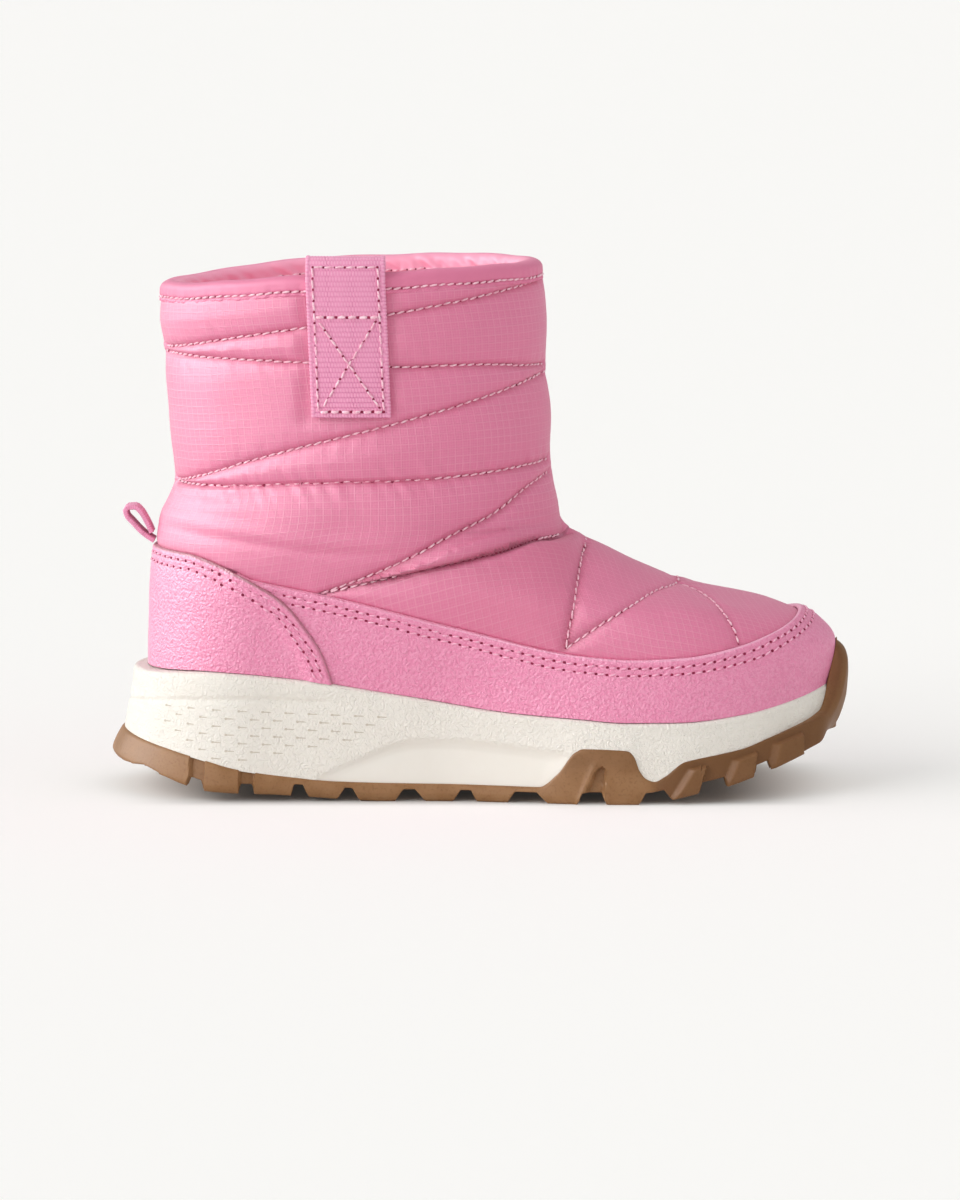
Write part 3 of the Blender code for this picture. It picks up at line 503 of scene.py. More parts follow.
LIP_TOE_HEIGHTS = (32.0, 45.0)
LIP_BEHIND = 5.0
TOP_SHARES = (0.0, 0.012, 0.03, 0.055)
TOP_ROUND = 0.9
TOP_ROUND_TOE = 2.6
FOOT_ROUND = 0.6
FOOT_IN = 0.35
LIP_LEAST = 0.35
# Painted shade on the rubber: high on the side tab, and on the front blocks
SIDE_TAB_PAINTED_SHADE = 0.45
SIDE_TAB_X = ((17.0, 22.0), (46.0, 50.0))
SIDE_TAB_Z = (7.0, 13.0)
BLOCK_PAINTED_SHADE = 0.75
BLOCK_PAINTED_SHADE_X = (50.0, 60.0)
TOE_PROFILE = (
    (13.5, -1.0), (15.5, 1.2), (17.5, 3.2), (19.5, 4.6), (22.0, 5.7), (24.5, 6.5), (28.0, 7.3),
    (31.3, 7.6), (35.0, 7.8), (38.0, 7.7), (40.4, 7.2), (42.5, 6.2), (44.0, 5.0), (44.8, 4.2),
)
TOE_FROM_X = 97.0
TOE_FULL_X = 103.5
STAGGER = 8.0
STAGGER_HALF = 10.0


# Curves and steps

def monotone_curve(x, knots, values):
    """Smooth curve through the knots that never swings past them, level beyond both ends."""
    knots = np.asarray(knots, float)
    values = np.asarray(values, float)
    gaps = np.diff(knots)
    rises = np.diff(values) / gaps
    slopes = np.empty_like(values)
    slopes[0] = rises[0]
    slopes[-1] = rises[-1]
    for i in range(1, len(values) - 1):
        before = rises[i - 1]
        after = rises[i]
        if before * after <= 0.0:
            slopes[i] = 0.0
            continue
        near = 2.0 * gaps[i] + gaps[i - 1]
        far = gaps[i] + 2.0 * gaps[i - 1]
        slopes[i] = (near + far) / (near / before + far / after)
    x = np.clip(x, knots[0], knots[-1])
    i = np.clip(np.searchsorted(knots, x, side="right") - 1, 0, len(gaps) - 1)
    t = (x - knots[i]) / gaps[i]
    start = (1.0 + 2.0 * t) * (1.0 - t) ** 2 * values[i] + t * (1.0 - t) ** 2 * gaps[i] * slopes[i]
    end = t ** 2 * (3.0 - 2.0 * t) * values[i + 1] - t ** 2 * (1.0 - t) * gaps[i] * slopes[i + 1]
    return start + end


def line_height(line, x):
    knots, values = zip(*line)
    return monotone_curve(x, knots, values)


def soft_step(x, low, high):
    t = np.clip((x - low) / (high - low), 0.0, 1.0)
    return t * t * (3.0 - 2.0 * t)


def hump(x, middle, reach):
    return 1.0 - soft_step(np.abs(x - middle), 0.0, reach)


def between(x, rise, fall):
    """One between two places, with soft ends."""
    return soft_step(x, *rise) * (1.0 - soft_step(x, *fall))


def bell(distance, half):
    return np.exp(-(distance / half) ** 2)


def ripple(along, *lengths):
    return sum(np.sin(2.0 * math.pi * along / length) for length in lengths)


def round_over(distance, reach):
    """Quarter circle from nought at an edge to one a reach away from it."""
    t = 1.0 - np.clip(distance / reach, 0.0, 1.0)
    return np.sqrt(np.maximum(0.0, 1.0 - t * t))


def bisect(error, low, high, shape):
    """Place where a rising error crosses nought, worked out for a whole array at once."""
    low = np.full(shape, low)
    high = np.full(shape, high)
    for _ in range(BISECT_STEPS):
        middle = (low + high) / 2.0
        above = error(middle) > 0.0
        high = np.where(above, middle, high)
        low = np.where(above, low, middle)
    return (low + high) / 2.0


def soft_noise(points, reach, seed):
    """Smooth made-up waves about one reach long, between about -1 and 1."""
    waves = np.random.default_rng(seed)
    total = np.zeros(points.shape[:-1])
    for _ in range(10):
        direction = waves.normal(size=3)
        direction = direction / np.linalg.norm(direction)
        length = reach * waves.uniform(0.7, 1.5)
        total = total + np.sin(points @ direction * 2.0 * math.pi / length + waves.uniform(0.0, 6.28))
    return total / 4.0


def unit(vectors):
    return vectors / np.maximum(np.linalg.norm(vectors, axis=-1, keepdims=True), TINY)


def lengths_along(grid, axis):
    """Distance covered along each line of a grid, starting at nought."""
    steps = np.linalg.norm(np.diff(grid, axis=axis), axis=-1)
    start = np.zeros_like(np.take(steps, [0], axis=axis))
    return np.concatenate((start, np.cumsum(steps, axis=axis)), axis=axis)


def points_at(places, reach, points):
    """Points at given distances along a line of points."""
    return np.stack([np.interp(places, reach, points[:, i]) for i in range(3)], axis=1)


def smooth_path(path, places_of):
    """Coordinates on a smooth curve through a path's corners, at places that follow from its length."""
    corners = np.array(path)
    reach = lengths_along(corners, 0)
    places = places_of(reach[-1])
    return [monotone_curve(places, reach, column) for column in corners.T]


def smooth_line(line):
    """Line with its small steps evened out."""
    padded = np.concatenate((np.repeat(line[:1], 4, axis=0), line, np.repeat(line[-1:], 4, axis=0)))
    return np.stack([np.convolve(padded[:, i], np.ones(9) / 9.0, mode="valid") for i in range(3)], axis=1)


def table_at(table, names, places):
    """Columns of a table of sizes, by name, at places in the measure of its first column."""
    columns = list(zip(*table))
    return {name: monotone_curve(places, columns[0], column) for name, column in zip(names, columns)}


# Shape of the last

def last_at(height):
    return table_at(LAST, LAST_COLUMNS, height)


def centre_line(x):
    return TOE_SWING * np.clip((x - SWING_FROM_X) / (SWING_TO_X - SWING_FROM_X), 0.0, None) ** 2


def half_width(x, z, side):
    """Half width of the last at a place and height, with the arch cut on the inner side."""
    last = last_at(z)
    width = last["heel"] + (last["waist"] - last["heel"]) * soft_step(x, HEEL_X, WAIST_X)
    width = width + (last["ball"] - last["waist"]) * soft_step(x, WAIST_X, BALL_X)
    width = width + (last["toe"] - last["ball"]) * soft_step(x, BALL_X, TOE_X)
    arch = ARCH_CUT * hump(x, WAIST_X, ARCH_REACH) * (1.0 - soft_step(z, ARCH_LOW, ARCH_HIGH))
    width = width - np.where(side > 0, arch, 0.0)
    back = round_over(x - last["back"], last["back_round"])
    front = round_over(last["front"] - x, last["front_round"])
    return width * back * front


def last_points(x, z, side):
    y = centre_line(x) + side * half_width(x, z, side)
    return np.stack(np.broadcast_arrays(x, y, z), axis=-1)


def cover_line(x):
    """Top of whichever overlay reaches higher."""
    return np.maximum(line_height(MUDGUARD_TOP, x), line_height(COUNTER_TOP, x))


def level_height(x, level):
    """Height of a level line: 0 at the sole, 1 at the top of the overlays, 2 under the binding."""
    low = line_height(FEATHER, x) + FIT_GAP
    cover = cover_line(x)
    top = line_height(COLLAR, x) - BINDING_HEIGHT
    lower = low + (cover - low) * np.minimum(level, 1.0)
    return lower + (top - cover) * np.maximum(level - 1.0, 0.0)


def end_of_line(height, end, shape):
    """Where a line of the given height meets the back or front of the last."""
    return bisect(lambda x: x - last_at(height(x))[end], *END_LIMITS[end], shape)


def around(levels, angles):
    """Points round the last on each level line, from the toe along the outer side and back."""
    levels = np.asarray(levels, float)[:, None]

    def height(x):
        return level_height(x, levels)

    back = end_of_line(height, "back", levels.shape)
    front = end_of_line(height, "front", levels.shape)
    x = (front + back) / 2.0 + (front - back) / 2.0 * np.cos(angles)
    side = -np.sign(np.sin(angles))
    return last_points(x, height(x), side)


def even_angles(count):
    return 2.0 * math.pi * np.arange(count) / count


def normals_of(grid, closed):
    if closed:
        along = np.roll(grid, -1, axis=1) - np.roll(grid, 1, axis=1)
    else:
        along = np.gradient(grid, axis=1, edge_order=min(2, grid.shape[1] - 1))
    return unit(np.cross(np.gradient(grid, axis=0), along))


class Finder:
    """Nearest of a set of points."""

    def __init__(self, points):
        self.tree = KDTree(len(points))
        for i, point in enumerate(points):
            self.tree.insert(point, i)
        self.tree.balance()

    def nearest(self, points):
        flat = points.reshape(-1, 3)
        found = [self.tree.find(point) for point in flat]
        index = np.array([item[1] for item in found]).reshape(points.shape[:-1])
        distance = np.array([item[2] for item in found]).reshape(points.shape[:-1])
        return index, distance


class Skin:
    """Surface whose outward direction can be looked up near any point."""

    def __init__(self, grid, normals):
        self.points = grid.reshape(-1, 3)
        self.normals = normals.reshape(-1, 3)
        self.finder = Finder(self.points)

    def lay(self, points, lift):
        """Points moved on to the surface and a little off it, with the directions there."""
        index = self.finder.nearest(points)[0]
        normals = self.normals[index]
        height = np.sum((self.points[index] - points) * normals, axis=-1, keepdims=True)
        return points + normals * (height + lift), normals


# Meshes

def corners_of(table):
    """The four corners of each cell of a grid, in order round the cell."""
    return np.stack((table[:-1, :-1], table[1:, :-1], table[1:, 1:], table[:-1, 1:]), axis=2)


class Piece:
    """Mesh gathered from grids of points, made into one object at the end."""

    def __init__(self, name):
        self.name = name
        self.points = []
        self.loops = []
        self.sizes = []
        self.skins = []
        self.maps = []
        self.marks = []
        self.count = 0

    def add_points(self, points, marks=0.0):
        points = points.reshape(-1, 3)
        index = self.count + np.arange(len(points))
        self.points.append(points)
        self.marks.append(np.broadcast_to(np.asarray(marks, float).reshape(-1), (len(points),)))
        self.count += len(points)
        return index

    def add_faces(self, faces, skin=0, flat=None):
        faces = np.asarray(faces)
        self.loops.append(faces.ravel())
        self.sizes.append(np.full(len(faces), faces.shape[1]))
        self.skins.append(np.full(len(faces), skin))
        self.maps.append(np.zeros((faces.size, 2)) if flat is None else flat.reshape(-1, 2))

    def grid(self, grid, wrap_rows=False, wrap_columns=False, flat=None, marks=0.0):
        """Add a grid and give its points' numbers. The flat map has the wrapped row and column too."""
        rows, columns = grid.shape[:2]
        index = self.add_points(grid, marks).reshape(rows, columns)
        rounded = np.ix_(np.arange(rows + wrap_rows) % rows, np.arange(columns + wrap_columns) % columns)
        cells = corners_of(index[rounded])
        self.add_faces(cells.reshape(-1, 4), flat=None if flat is None else corners_of(flat))
        return index

    def bridge(self, first, second, skin=0):
        self.add_faces(np.stack((first[:-1], first[1:], second[1:], second[:-1]), axis=1), skin)

    def build(self, materials, node=None, slot=None, sharp=50.0):
        mesh = bpy.data.meshes.new(self.name)
        points = np.concatenate(self.points) * MM
        sizes = np.concatenate(self.sizes)
        mesh.vertices.add(len(points))
        mesh.vertices.foreach_set("co", points.astype(np.float32).ravel())
        loops = np.concatenate(self.loops)
        mesh.loops.add(len(loops))
        mesh.loops.foreach_set("vertex_index", loops.astype(np.int32))
        mesh.polygons.add(len(sizes))
        mesh.polygons.foreach_set("loop_start", (np.cumsum(sizes) - sizes).astype(np.int32))
        mesh.polygons.foreach_set("material_index", np.concatenate(self.skins).astype(np.int32))
        layer = mesh.uv_layers.new(name="cloth")
        layer.data.foreach_set("uv", np.concatenate(self.maps).astype(np.float32).ravel())
        mark = mesh.attributes.new("mark", "FLOAT", "POINT")
        mark.data.foreach_set("value", np.concatenate(self.marks).astype(np.float32))
        mesh.update(calc_edges=True)
        mesh_data = bmesh.new()
        mesh_data.from_mesh(mesh)
        bmesh.ops.recalc_face_normals(mesh_data, faces=mesh_data.faces)
        mesh_data.to_mesh(mesh)
        mesh_data.free()
        mesh.shade_smooth()
        mesh.set_sharp_from_angle(angle=math.radians(sharp))
        for material in materials:
            mesh.materials.append(material)
        made = bpy.data.objects.new(self.name, mesh)
        bpy.context.scene.collection.objects.link(made)
        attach(made, BODY)
        if node:
            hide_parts(node)
        return made


def slab(piece, outer, inner, marks, edge_skin=0):
    """Sheet with thickness between two open grids."""
    front = piece.grid(outer, marks=marks)
    rear = piece.grid(inner[:, ::-1], marks=marks[:, ::-1])[:, ::-1]
    for row in (0, -1):
        piece.bridge(front[row], rear[row], edge_skin)
    for column in (0, -1):
        piece.bridge(front[:, column], rear[:, column], edge_skin)


def bars(piece, centres, tangents, normals, length, radius, rise=0.0, flatten=1.0, twist=0.0):
    """Short threads with rounded ends, each humped up in the middle; flat ones have fewer faces."""
    along = np.array(BAR_RINGS if rise else FLAT_BAR_RINGS)[:, None]
    turn = even_angles(BAR_SIDES if rise else FLAT_BAR_SIDES)
    aside = unit(np.cross(tangents, normals))
    ring = radius * np.sqrt(1.0 - along ** 4) * (1.0 + twist * np.cos(2.0 * turn + PLY_TURN * along))
    height = ring * np.sin(turn) * flatten + rise * (1.0 - along ** 2)
    points = centres[:, None, None, :] + tangents[:, None, None, :] * (along * length / 2.0)[..., None]
    points = points + aside[:, None, None, :] * (ring * np.cos(turn))[..., None]
    points = points + normals[:, None, None, :] * height[..., None]
    index = piece.add_points(points).reshape(points.shape[:3])
    closed = np.concatenate((index, index[:, :, :1]), axis=2)
    corners = (closed[:, :-1, :-1], closed[:, 1:, :-1], closed[:, 1:, 1:], closed[:, :-1, 1:])
    piece.add_faces(np.stack(corners, axis=-1).reshape(-1, 4))
    piece.add_faces(index[:, 0, ::-1])
    piece.add_faces(index[:, -1, :])


def stitch_places(points, pitch):
    """Middles of stitches at an even pitch along a line, with the line's direction at each."""
    reach = lengths_along(points, 0)
    count = max(1, int(round(reach[-1] / pitch)))
    places = (np.arange(count) + 0.5) * reach[-1] / count
    ahead = points_at(places + pitch / 3.0, reach, points)
    behind = points_at(places - pitch / 3.0, reach, points)
    return points_at(places, reach, points), unit(ahead - behind)


class Stitching:
    """Threads and needle holes on one surface, the holes painted as dark discs."""

    def __init__(self, name, skin):
        self.skin = skin
        self.threads = Piece(f"{name}_stitches")
        self.holes = Piece(f"{name}_needle_holes")

    def sew(self, line, stitch, lift):
        """Stitches along a line, with a needle hole between each two."""
        length, gap, radius, hole, slant = stitch
        centres, tangents = stitch_places(line, length + gap)
        centres, normals = self.skin.lay(centres, lift)
        aside = np.cross(normals, tangents)
        slanted = unit(tangents + aside * (slant + RANDOM.normal(0.0, STITCH_WOBBLE, (len(centres), 1))))
        bars(self.threads, centres, slanted, normals, length, radius, radius * STITCH_HUMP,
             twist=STITCH_TWIST)
        # Each needle hole is a flat dark disc on the surface: painted shade in place of a cut hole
        ends = centres + tangents * (length + gap) / 2.0 - normals * (lift - HOLE_LIFT)
        bars(self.holes, ends, tangents, normals, hole * 2.0, hole, flatten=HOLE_FLATTEN)

    def build(self, thread, hole, slot):
        self.threads.build([thread], slot=slot)
        self.holes.build([hole], slot=slot)


# Materials

class Shade:
    """Short way to write a material's nodes."""

    def __init__(self, name, **sockets):
        self.material = bpy.data.materials.new(name)
        self.material.use_nodes = True
        self.tree = self.material.node_tree
        self.shader = self.tree.nodes["Principled BSDF"]
        for socket, value in sockets.items():
            self.shader.inputs[socket.replace("_", " ")].default_value = value
        self.place = self.add("ShaderNodeTexCoord").outputs["Object"]

    def add(self, kind, inputs=(), **settings):
        """New node, with a value or a link for each socket named or numbered."""
        made = self.tree.nodes.new(kind)
        for name, value in settings.items():
            setattr(made, name, value)
        for socket, value in dict(inputs).items():
            self.put(value, made.inputs[socket])
        return made

    def put(self, value, socket):
        if isinstance(value, bpy.types.NodeSocket):
            self.tree.links.new(value, socket)
        else:
            socket.default_value = value

    def math(self, operation, first, second=0.0):
        return self.add("ShaderNodeMath", {0: first, 1: second}, operation=operation).outputs[0]

    def times(self, first, second):
        return self.math("MULTIPLY", first, second)

    def noise(self, scale, detail=2.0, distortion=0.0):
        inputs = {"Vector": self.place, "Scale": scale, "Detail": detail, "Distortion": distortion}
        return self.add("ShaderNodeTexNoise", inputs).outputs["Fac"]

    def cells(self, scale, vector):
        inputs = {"Vector": vector, "Scale": scale}
        return self.add("ShaderNodeTexVoronoi", inputs, feature="SMOOTH_F1").outputs["Distance"]

    def span(self, value, low, high, to_low=0.0, to_high=1.0):
        inputs = {"Value": value, "From Min": low, "From Max": high, "To Min": to_low, "To Max": to_high}
        return self.add("ShaderNodeMapRange", inputs, interpolation_type="SMOOTHSTEP").outputs["Result"]

    def colour(self, value):
        return value if isinstance(value, bpy.types.NodeSocket) else (*value, 1.0)

    def mix(self, share, first, second):
        inputs = {0: share, 6: self.colour(first), 7: self.colour(second)}
        return self.add("ShaderNodeMix", inputs, data_type="RGBA").outputs[2]

    def flat(self):
        """The two pattern directions of the cloth, in millimetres."""
        uv = self.add("ShaderNodeUVMap", uv_map="cloth").outputs["UV"]
        made = self.add("ShaderNodeSeparateXYZ", {0: uv})
        return made.outputs["X"], made.outputs["Y"]

    def mark(self):
        return self.add("ShaderNodeAttribute", attribute_name="mark").outputs["Fac"]

    def lines(self, along, pitch):
        """Thin lines at an even pitch: one on a line, nought between."""
        part = self.math("FRACT", self.math("DIVIDE", along, pitch))
        off = self.times(self.math("ABSOLUTE", self.math("SUBTRACT", part, 0.5)), pitch)
        return self.span(off, RIPSTOP_HALF, RIPSTOP_HALF * 2.0, 1.0, 0.0)

    def wave(self, along, pitch):
        return self.math("SINE", self.times(along, 2.0 * math.pi / pitch))

    def finish(self, colour, *bumps, roughness=None):
        """The material, with bumps laid on each other, each a pattern and its height in metres."""
        self.put(self.colour(colour), self.shader.inputs["Base Color"])
        normal = None
        for pattern, height in bumps:
            made = self.add("ShaderNodeBump", {"Strength": 1.0, "Distance": height, "Height": pattern})
            if normal is not None:
                self.put(normal, made.inputs["Normal"])
            normal = made.outputs["Normal"]
        if normal is not None:
            self.put(normal, self.shader.inputs["Normal"])
        if roughness is not None:
            self.put(roughness, self.shader.inputs["Roughness"])
        return self.material


PINK = (0.72, 0.166, 0.312)
PINK_LIGHT = (0.84, 0.37, 0.50)
PINK_DEEP = (0.45, 0.05, 0.12)
LEATHER_PINK = (0.780, 0.228, 0.400)
LEATHER_LIGHT = (0.83, 0.30, 0.47)
WEB_PINK = (0.78, 0.270, 0.450)
WEB_PAINTED_SHADE = (0.46, 0.09, 0.22)
WEB_PAINTED_HIGHLIGHT = (0.88, 0.43, 0.60)
THREAD_PINK = (0.97, 0.68, 0.76)
LEATHER_THREAD = (0.91, 0.48, 0.63)
LINING_PINK = (0.90, 0.44, 0.56)
HOLE_PAINTED_SHADE = (0.055, 0.004, 0.012)
EDGE_BROWN = (0.48, 0.21, 0.26)
EDGE_LIGHT = (0.86, 0.40, 0.56)
FOAM_WHITE = (0.80, 0.765, 0.70)
FOAM_SHADE = (0.76, 0.72, 0.65)
DASH_PAINTED_SHADE = (0.56, 0.50, 0.42)
GUM_BROWN = (0.266, 0.134, 0.057)
GUM_LIGHT = (0.316, 0.166, 0.077)
GUM_DARK = (0.150, 0.066, 0.025)
# Painted light: glow of the pile and of the tape's inner side, in place of light scattered in the pile
PILE_PAINTED_LIGHT = 0.25
TAPE_INSIDE_PAINTED_LIGHT = (8.5, 11.5)
RIPSTOP_PITCH = 2.35
RIPSTOP_HALF = 0.10


def make_ripstop():
    shade = Shade("quilted_fabric", Roughness=0.62, Specular_IOR_Level=0.9, Sheen_Weight=0.20,
                  Sheen_Roughness=0.35, Sheen_Tint=(1.0, 0.86, 0.90, 1.0))
    ways = shade.flat()
    waver = shade.times(shade.noise(45.0), 0.45)
    waved = (shade.math("ADD", way, waver) for way in ways)
    grid = shade.math("MAXIMUM", *(shade.lines(way, RIPSTOP_PITCH) for way in waved))
    threads = shade.math("ADD", *(shade.lines(way, RIPSTOP_PITCH / 3.0) for way in ways))
    weave = shade.math("ADD", *(shade.wave(way, 0.42) for way in ways))
    uneven = shade.span(shade.noise(60.0, 4.0), 0.3, 0.7, 0.35, 1.0)
    colour = shade.mix(shade.span(shade.noise(22.0), 0.3, 0.7, 0.0, 0.08), PINK, PINK_DEEP)
    colour = shade.mix(shade.times(threads, 0.07), colour, PINK_LIGHT)
    colour = shade.mix(shade.times(shade.times(grid, uneven), 0.31), colour, PINK_LIGHT)
    # Painted shade from the mark: in the seams, about the fold and on the vamp panel below it
    colour = shade.mix(shade.times(shade.mark(), 0.85), colour, PINK_DEEP)
    return shade.finish(colour, (weave, 0.000012), (grid, 0.00004), (shade.noise(260.0, 3.0, 0.6), 0.00009))


def make_leather(name, pink, light, edge):
    """Grained leather: pebbles shaken out of line, and short wrinkles between them."""
    shade = Shade(name, Roughness=0.54, Specular_IOR_Level=0.7)
    drift = shade.add("ShaderNodeTexNoise", {"Vector": shade.place, "Scale": 900.0}).outputs["Color"]
    shake = shade.add("ShaderNodeVectorMath", {0: drift, "Scale": 0.0004}, operation="SCALE").outputs[0]
    shaken = shade.add("ShaderNodeVectorMath", {0: shade.place, 1: shake}, operation="ADD").outputs[0]
    pebble = shade.cells(1250.0, shaken)
    wrinkle = shade.noise(1200.0, 0.0, 1.0)
    colour = shade.mix(shade.span(wrinkle, 0.42, 0.58, 0.0, 0.75), pink, light)
    colour = shade.mix(shade.span(pebble, 0.40, 0.80, 0.0, 0.14), colour, PINK_DEEP)
    colour = shade.mix(shade.mark(), colour, edge)
    return shade.finish(colour, (shade.math("SUBTRACT", 1.0, pebble), 0.00026), (wrinkle, 0.00026))


def make_cut_edge(name, colour):
    shade = Shade(name, Roughness=0.8)
    speckle = shade.span(shade.noise(1800.0, 3.0), 0.35, 0.65, 0.0, 0.6)
    return shade.finish(shade.mix(speckle, colour, LEATHER_PINK), (shade.noise(2200.0, 3.0), 0.0001))


def make_tape():
    shade = Shade("binding_tape", Roughness=0.62, Specular_IOR_Level=0.6, Sheen_Weight=0.08,
                  Sheen_Roughness=0.4, Emission_Color=(*LINING_PINK, 1.0))
    across, up = shade.flat()
    weave = shade.wave(shade.math("ADD", across, up), 0.9)
    # Painted light on the inner side of the tape: a lighter pink and a glow
    inside = shade.span(up, *TAPE_INSIDE_PAINTED_LIGHT, 0.0, 0.4)
    colour = shade.mix(shade.span(weave, -1.0, 1.0, 0.0, 0.14), PINK, PINK_LIGHT)
    # Painted shade from the mark, along the stitched rows
    colour = shade.mix(shade.times(shade.mark(), 0.7), colour, PINK_DEEP)
    colour = shade.mix(inside, colour, LINING_PINK)
    shade.put(shade.times(inside, PILE_PAINTED_LIGHT), shade.shader.inputs["Emission Strength"])
    return shade.finish(colour, (weave, 0.00003), (shade.noise(300.0, 3.0), 0.00014))


def make_webbing(name):
    """Woven yarn: painted shade and highlight that follow the shape of the ribs, carried in the mark."""
    shade = Shade(name, Roughness=0.72, Specular_IOR_Level=0.35, Sheen_Weight=0.2, Sheen_Roughness=0.5)
    ribs = shade.mark()
    colour = shade.mix(shade.span(ribs, 0.0, 0.55), WEB_PAINTED_SHADE, WEB_PINK)
    colour = shade.mix(shade.span(ribs, 0.5, 1.0, 0.0, 0.55), colour, WEB_PAINTED_HIGHLIGHT)
    return shade.finish(colour, (shade.noise(3200.0, 3.0), 0.00012))


def make_thread(name, pink, light):
    shade = Shade(name, Roughness=0.6, Specular_IOR_Level=0.4, Sheen_Weight=0.3)
    colour = shade.mix(shade.span(shade.noise(900.0), 0.3, 0.7), pink, light)
    return shade.finish(colour, (shade.noise(4200.0), 0.00006))


def make_hole():
    # Painted shade of the needle holes and of the cord in the fold
    shade = Shade("needle_hole", Roughness=0.9, Specular_IOR_Level=0.1)
    return shade.finish(shade.mix(shade.noise(900.0), HOLE_PAINTED_SHADE, PINK_DEEP))


def make_fleece(name, colour):
    # The pile glows in its own colour: painted light
    shade = Shade(name, Roughness=0.95, Specular_IOR_Level=0.15, Sheen_Weight=0.6, Sheen_Roughness=0.6,
                  Emission_Color=(*colour, 1.0), Emission_Strength=PILE_PAINTED_LIGHT)
    tufts = shade.noise(420.0, 4.0, 0.8)
    mixed = shade.mix(shade.span(tufts, 0.2, 0.6), PINK, colour)
    mixed = shade.mix(shade.span(tufts, 0.55, 0.8, 0.0, 0.5), mixed, PINK_LIGHT)
    return shade.finish(mixed, (tufts, 0.0009), (shade.noise(2400.0, 3.0), 0.0002))


def make_foam():
    """Grained foam, smooth where it is marked."""
    shade = Shade("midsole_foam", Roughness=0.58, Specular_IOR_Level=0.25, Subsurface_Weight=0.06,
                  Subsurface_Radius=(0.0012, 0.0010, 0.0008))
    grain = shade.math("ADD", shade.noise(760.0, 1.0, 1.4), shade.times(shade.noise(1700.0, 3.0), 0.3))
    grained = shade.math("SUBTRACT", 1.0, shade.mark())
    colour = shade.mix(shade.span(shade.noise(70.0, 3.0), 0.3, 0.7, 0.0, 0.4), FOAM_WHITE, FOAM_SHADE)
    return shade.finish(colour, (shade.times(grain, grained), 0.00045))


def make_dash_painted_shade():
    # Painted shadow colour of the dashes
    return Shade("foam_dash_shadows", Roughness=0.8, Specular_IOR_Level=0.2).finish(DASH_PAINTED_SHADE)


def make_gum():
    shade = Shade("gum_rubber", Roughness=0.46, Specular_IOR_Level=0.16, Subsurface_Weight=0.08,
                  Subsurface_Radius=(0.0022, 0.0011, 0.0005))
    mottle = shade.noise(130.0, 4.0)
    speck = shade.noise(1300.0)
    colour = shade.mix(shade.span(mottle, 0.3, 0.7), GUM_BROWN, GUM_LIGHT)
    colour = shade.mix(shade.span(speck, 0.5, 0.75, 0.0, 0.35), colour, GUM_DARK)
    # Painted shade from the mark, in the recesses and on the side tab and front blocks
    colour = shade.mix(shade.times(shade.mark(), 0.85), colour, GUM_DARK)
    rough = shade.span(mottle, 0.3, 0.7, 0.42, 0.54)
    return shade.finish(colour, (speck, 0.00007), (mottle, 0.00008), roughness=rough)


def make_floor_paint():
    """Pale floor with a glow of its own, dimmed right under the boot as a painted shadow."""
    shade = Shade("floor_paint", Roughness=0.9, Specular_IOR_Level=0.0, Emission_Color=(*FLOOR_GLOW, 1.0))
    place = shade.add("ShaderNodeSeparateXYZ", {0: shade.place}).outputs
    along = shade.span(shade.math("ABSOLUTE", place["X"]), *SOLE_SHADOW_X, SOLE_PAINTED_SHADOW, 0.0)
    across = shade.span(shade.math("ABSOLUTE", place["Y"]), *SOLE_SHADOW_Y, 1.0, 0.0)
    # Painted shadow: the glow is taken off the floor under the sole
    glow = shade.math("SUBTRACT", 1.0, shade.times(along, across))
    shade.put(glow, shade.shader.inputs["Emission Strength"])
    return shade.finish(FLOOR_COLOUR)


# Quilted upper

class SeamMap:
    """Samples along every quilting seam, for distances and for stitches."""

    def __init__(self):
        self.lines = []
        for number, (name, seam) in enumerate(SEAMS.items()):
            for side in (-1.0, 1.0):
                self.lines.append((name, number + side, self.trace(seam, side)))
        self.points = np.concatenate([line for _, _, line in self.lines])
        self.along = np.concatenate([lengths_along(line, 0) for _, _, line in self.lines])
        self.number = self.spread(lambda name, number: number)
        self.is_fold = self.spread(lambda name, number: name == FOLD_SEAM)
        self.pucker = self.spread(lambda name, number: PUCKER_SEAMS.get(name, PUCKER_ELSEWHERE))
        self.finder = Finder(self.points)

    def spread(self, value_of):
        """One value for each seam, repeated for all its samples."""
        runs = [np.full(len(line), value_of(name, number)) for name, number, line in self.lines]
        return np.concatenate(runs)

    def trace(self, seam, side):
        x, z = smooth_path(seam, lambda length: np.arange(0.0, length, SEAM_SPACING))
        last = last_at(z)
        on_boot = (x > last["back"]) & (x < last["front"])
        return last_points(x[on_boot], z[on_boot], side)


def upper_levels(start, covered, vamp, shaft):
    """Levels of rows, with the numbers of rows under the overlays, over the vamp and up the shaft."""
    joint = 1.0 + VAMP_SPAN
    return np.concatenate((np.linspace(start, 1.0, covered), np.linspace(1.0, joint, vamp + 1)[1:],
                           np.linspace(joint, 2.0, shaft + 1)[1:]))


def fullness(points):
    """How full the padding is: it thins out over the foot towards the toe."""
    along = (points[..., 0] - FLATTER_FROM_X) / (FLATTER_TO_X - FLATTER_FROM_X)
    return 1.0 - FLATTER_BY * np.clip(along, 0.0, 1.0)


def tab_press(points):
    """How much of the quilting is left under the pull tab."""
    x, y, z = np.moveaxis(points, -1, 0)
    across = between(x, (TAB_BACK_X - TAB_MARGIN, TAB_BACK_X), (TAB_FRONT_X, TAB_FRONT_X + TAB_MARGIN))
    up = soft_step(z, TAB_LOW - TAB_MARGIN, TAB_LOW)
    return 1.0 - (1.0 - TAB_PRESS) * across * up * (y < 0.0)


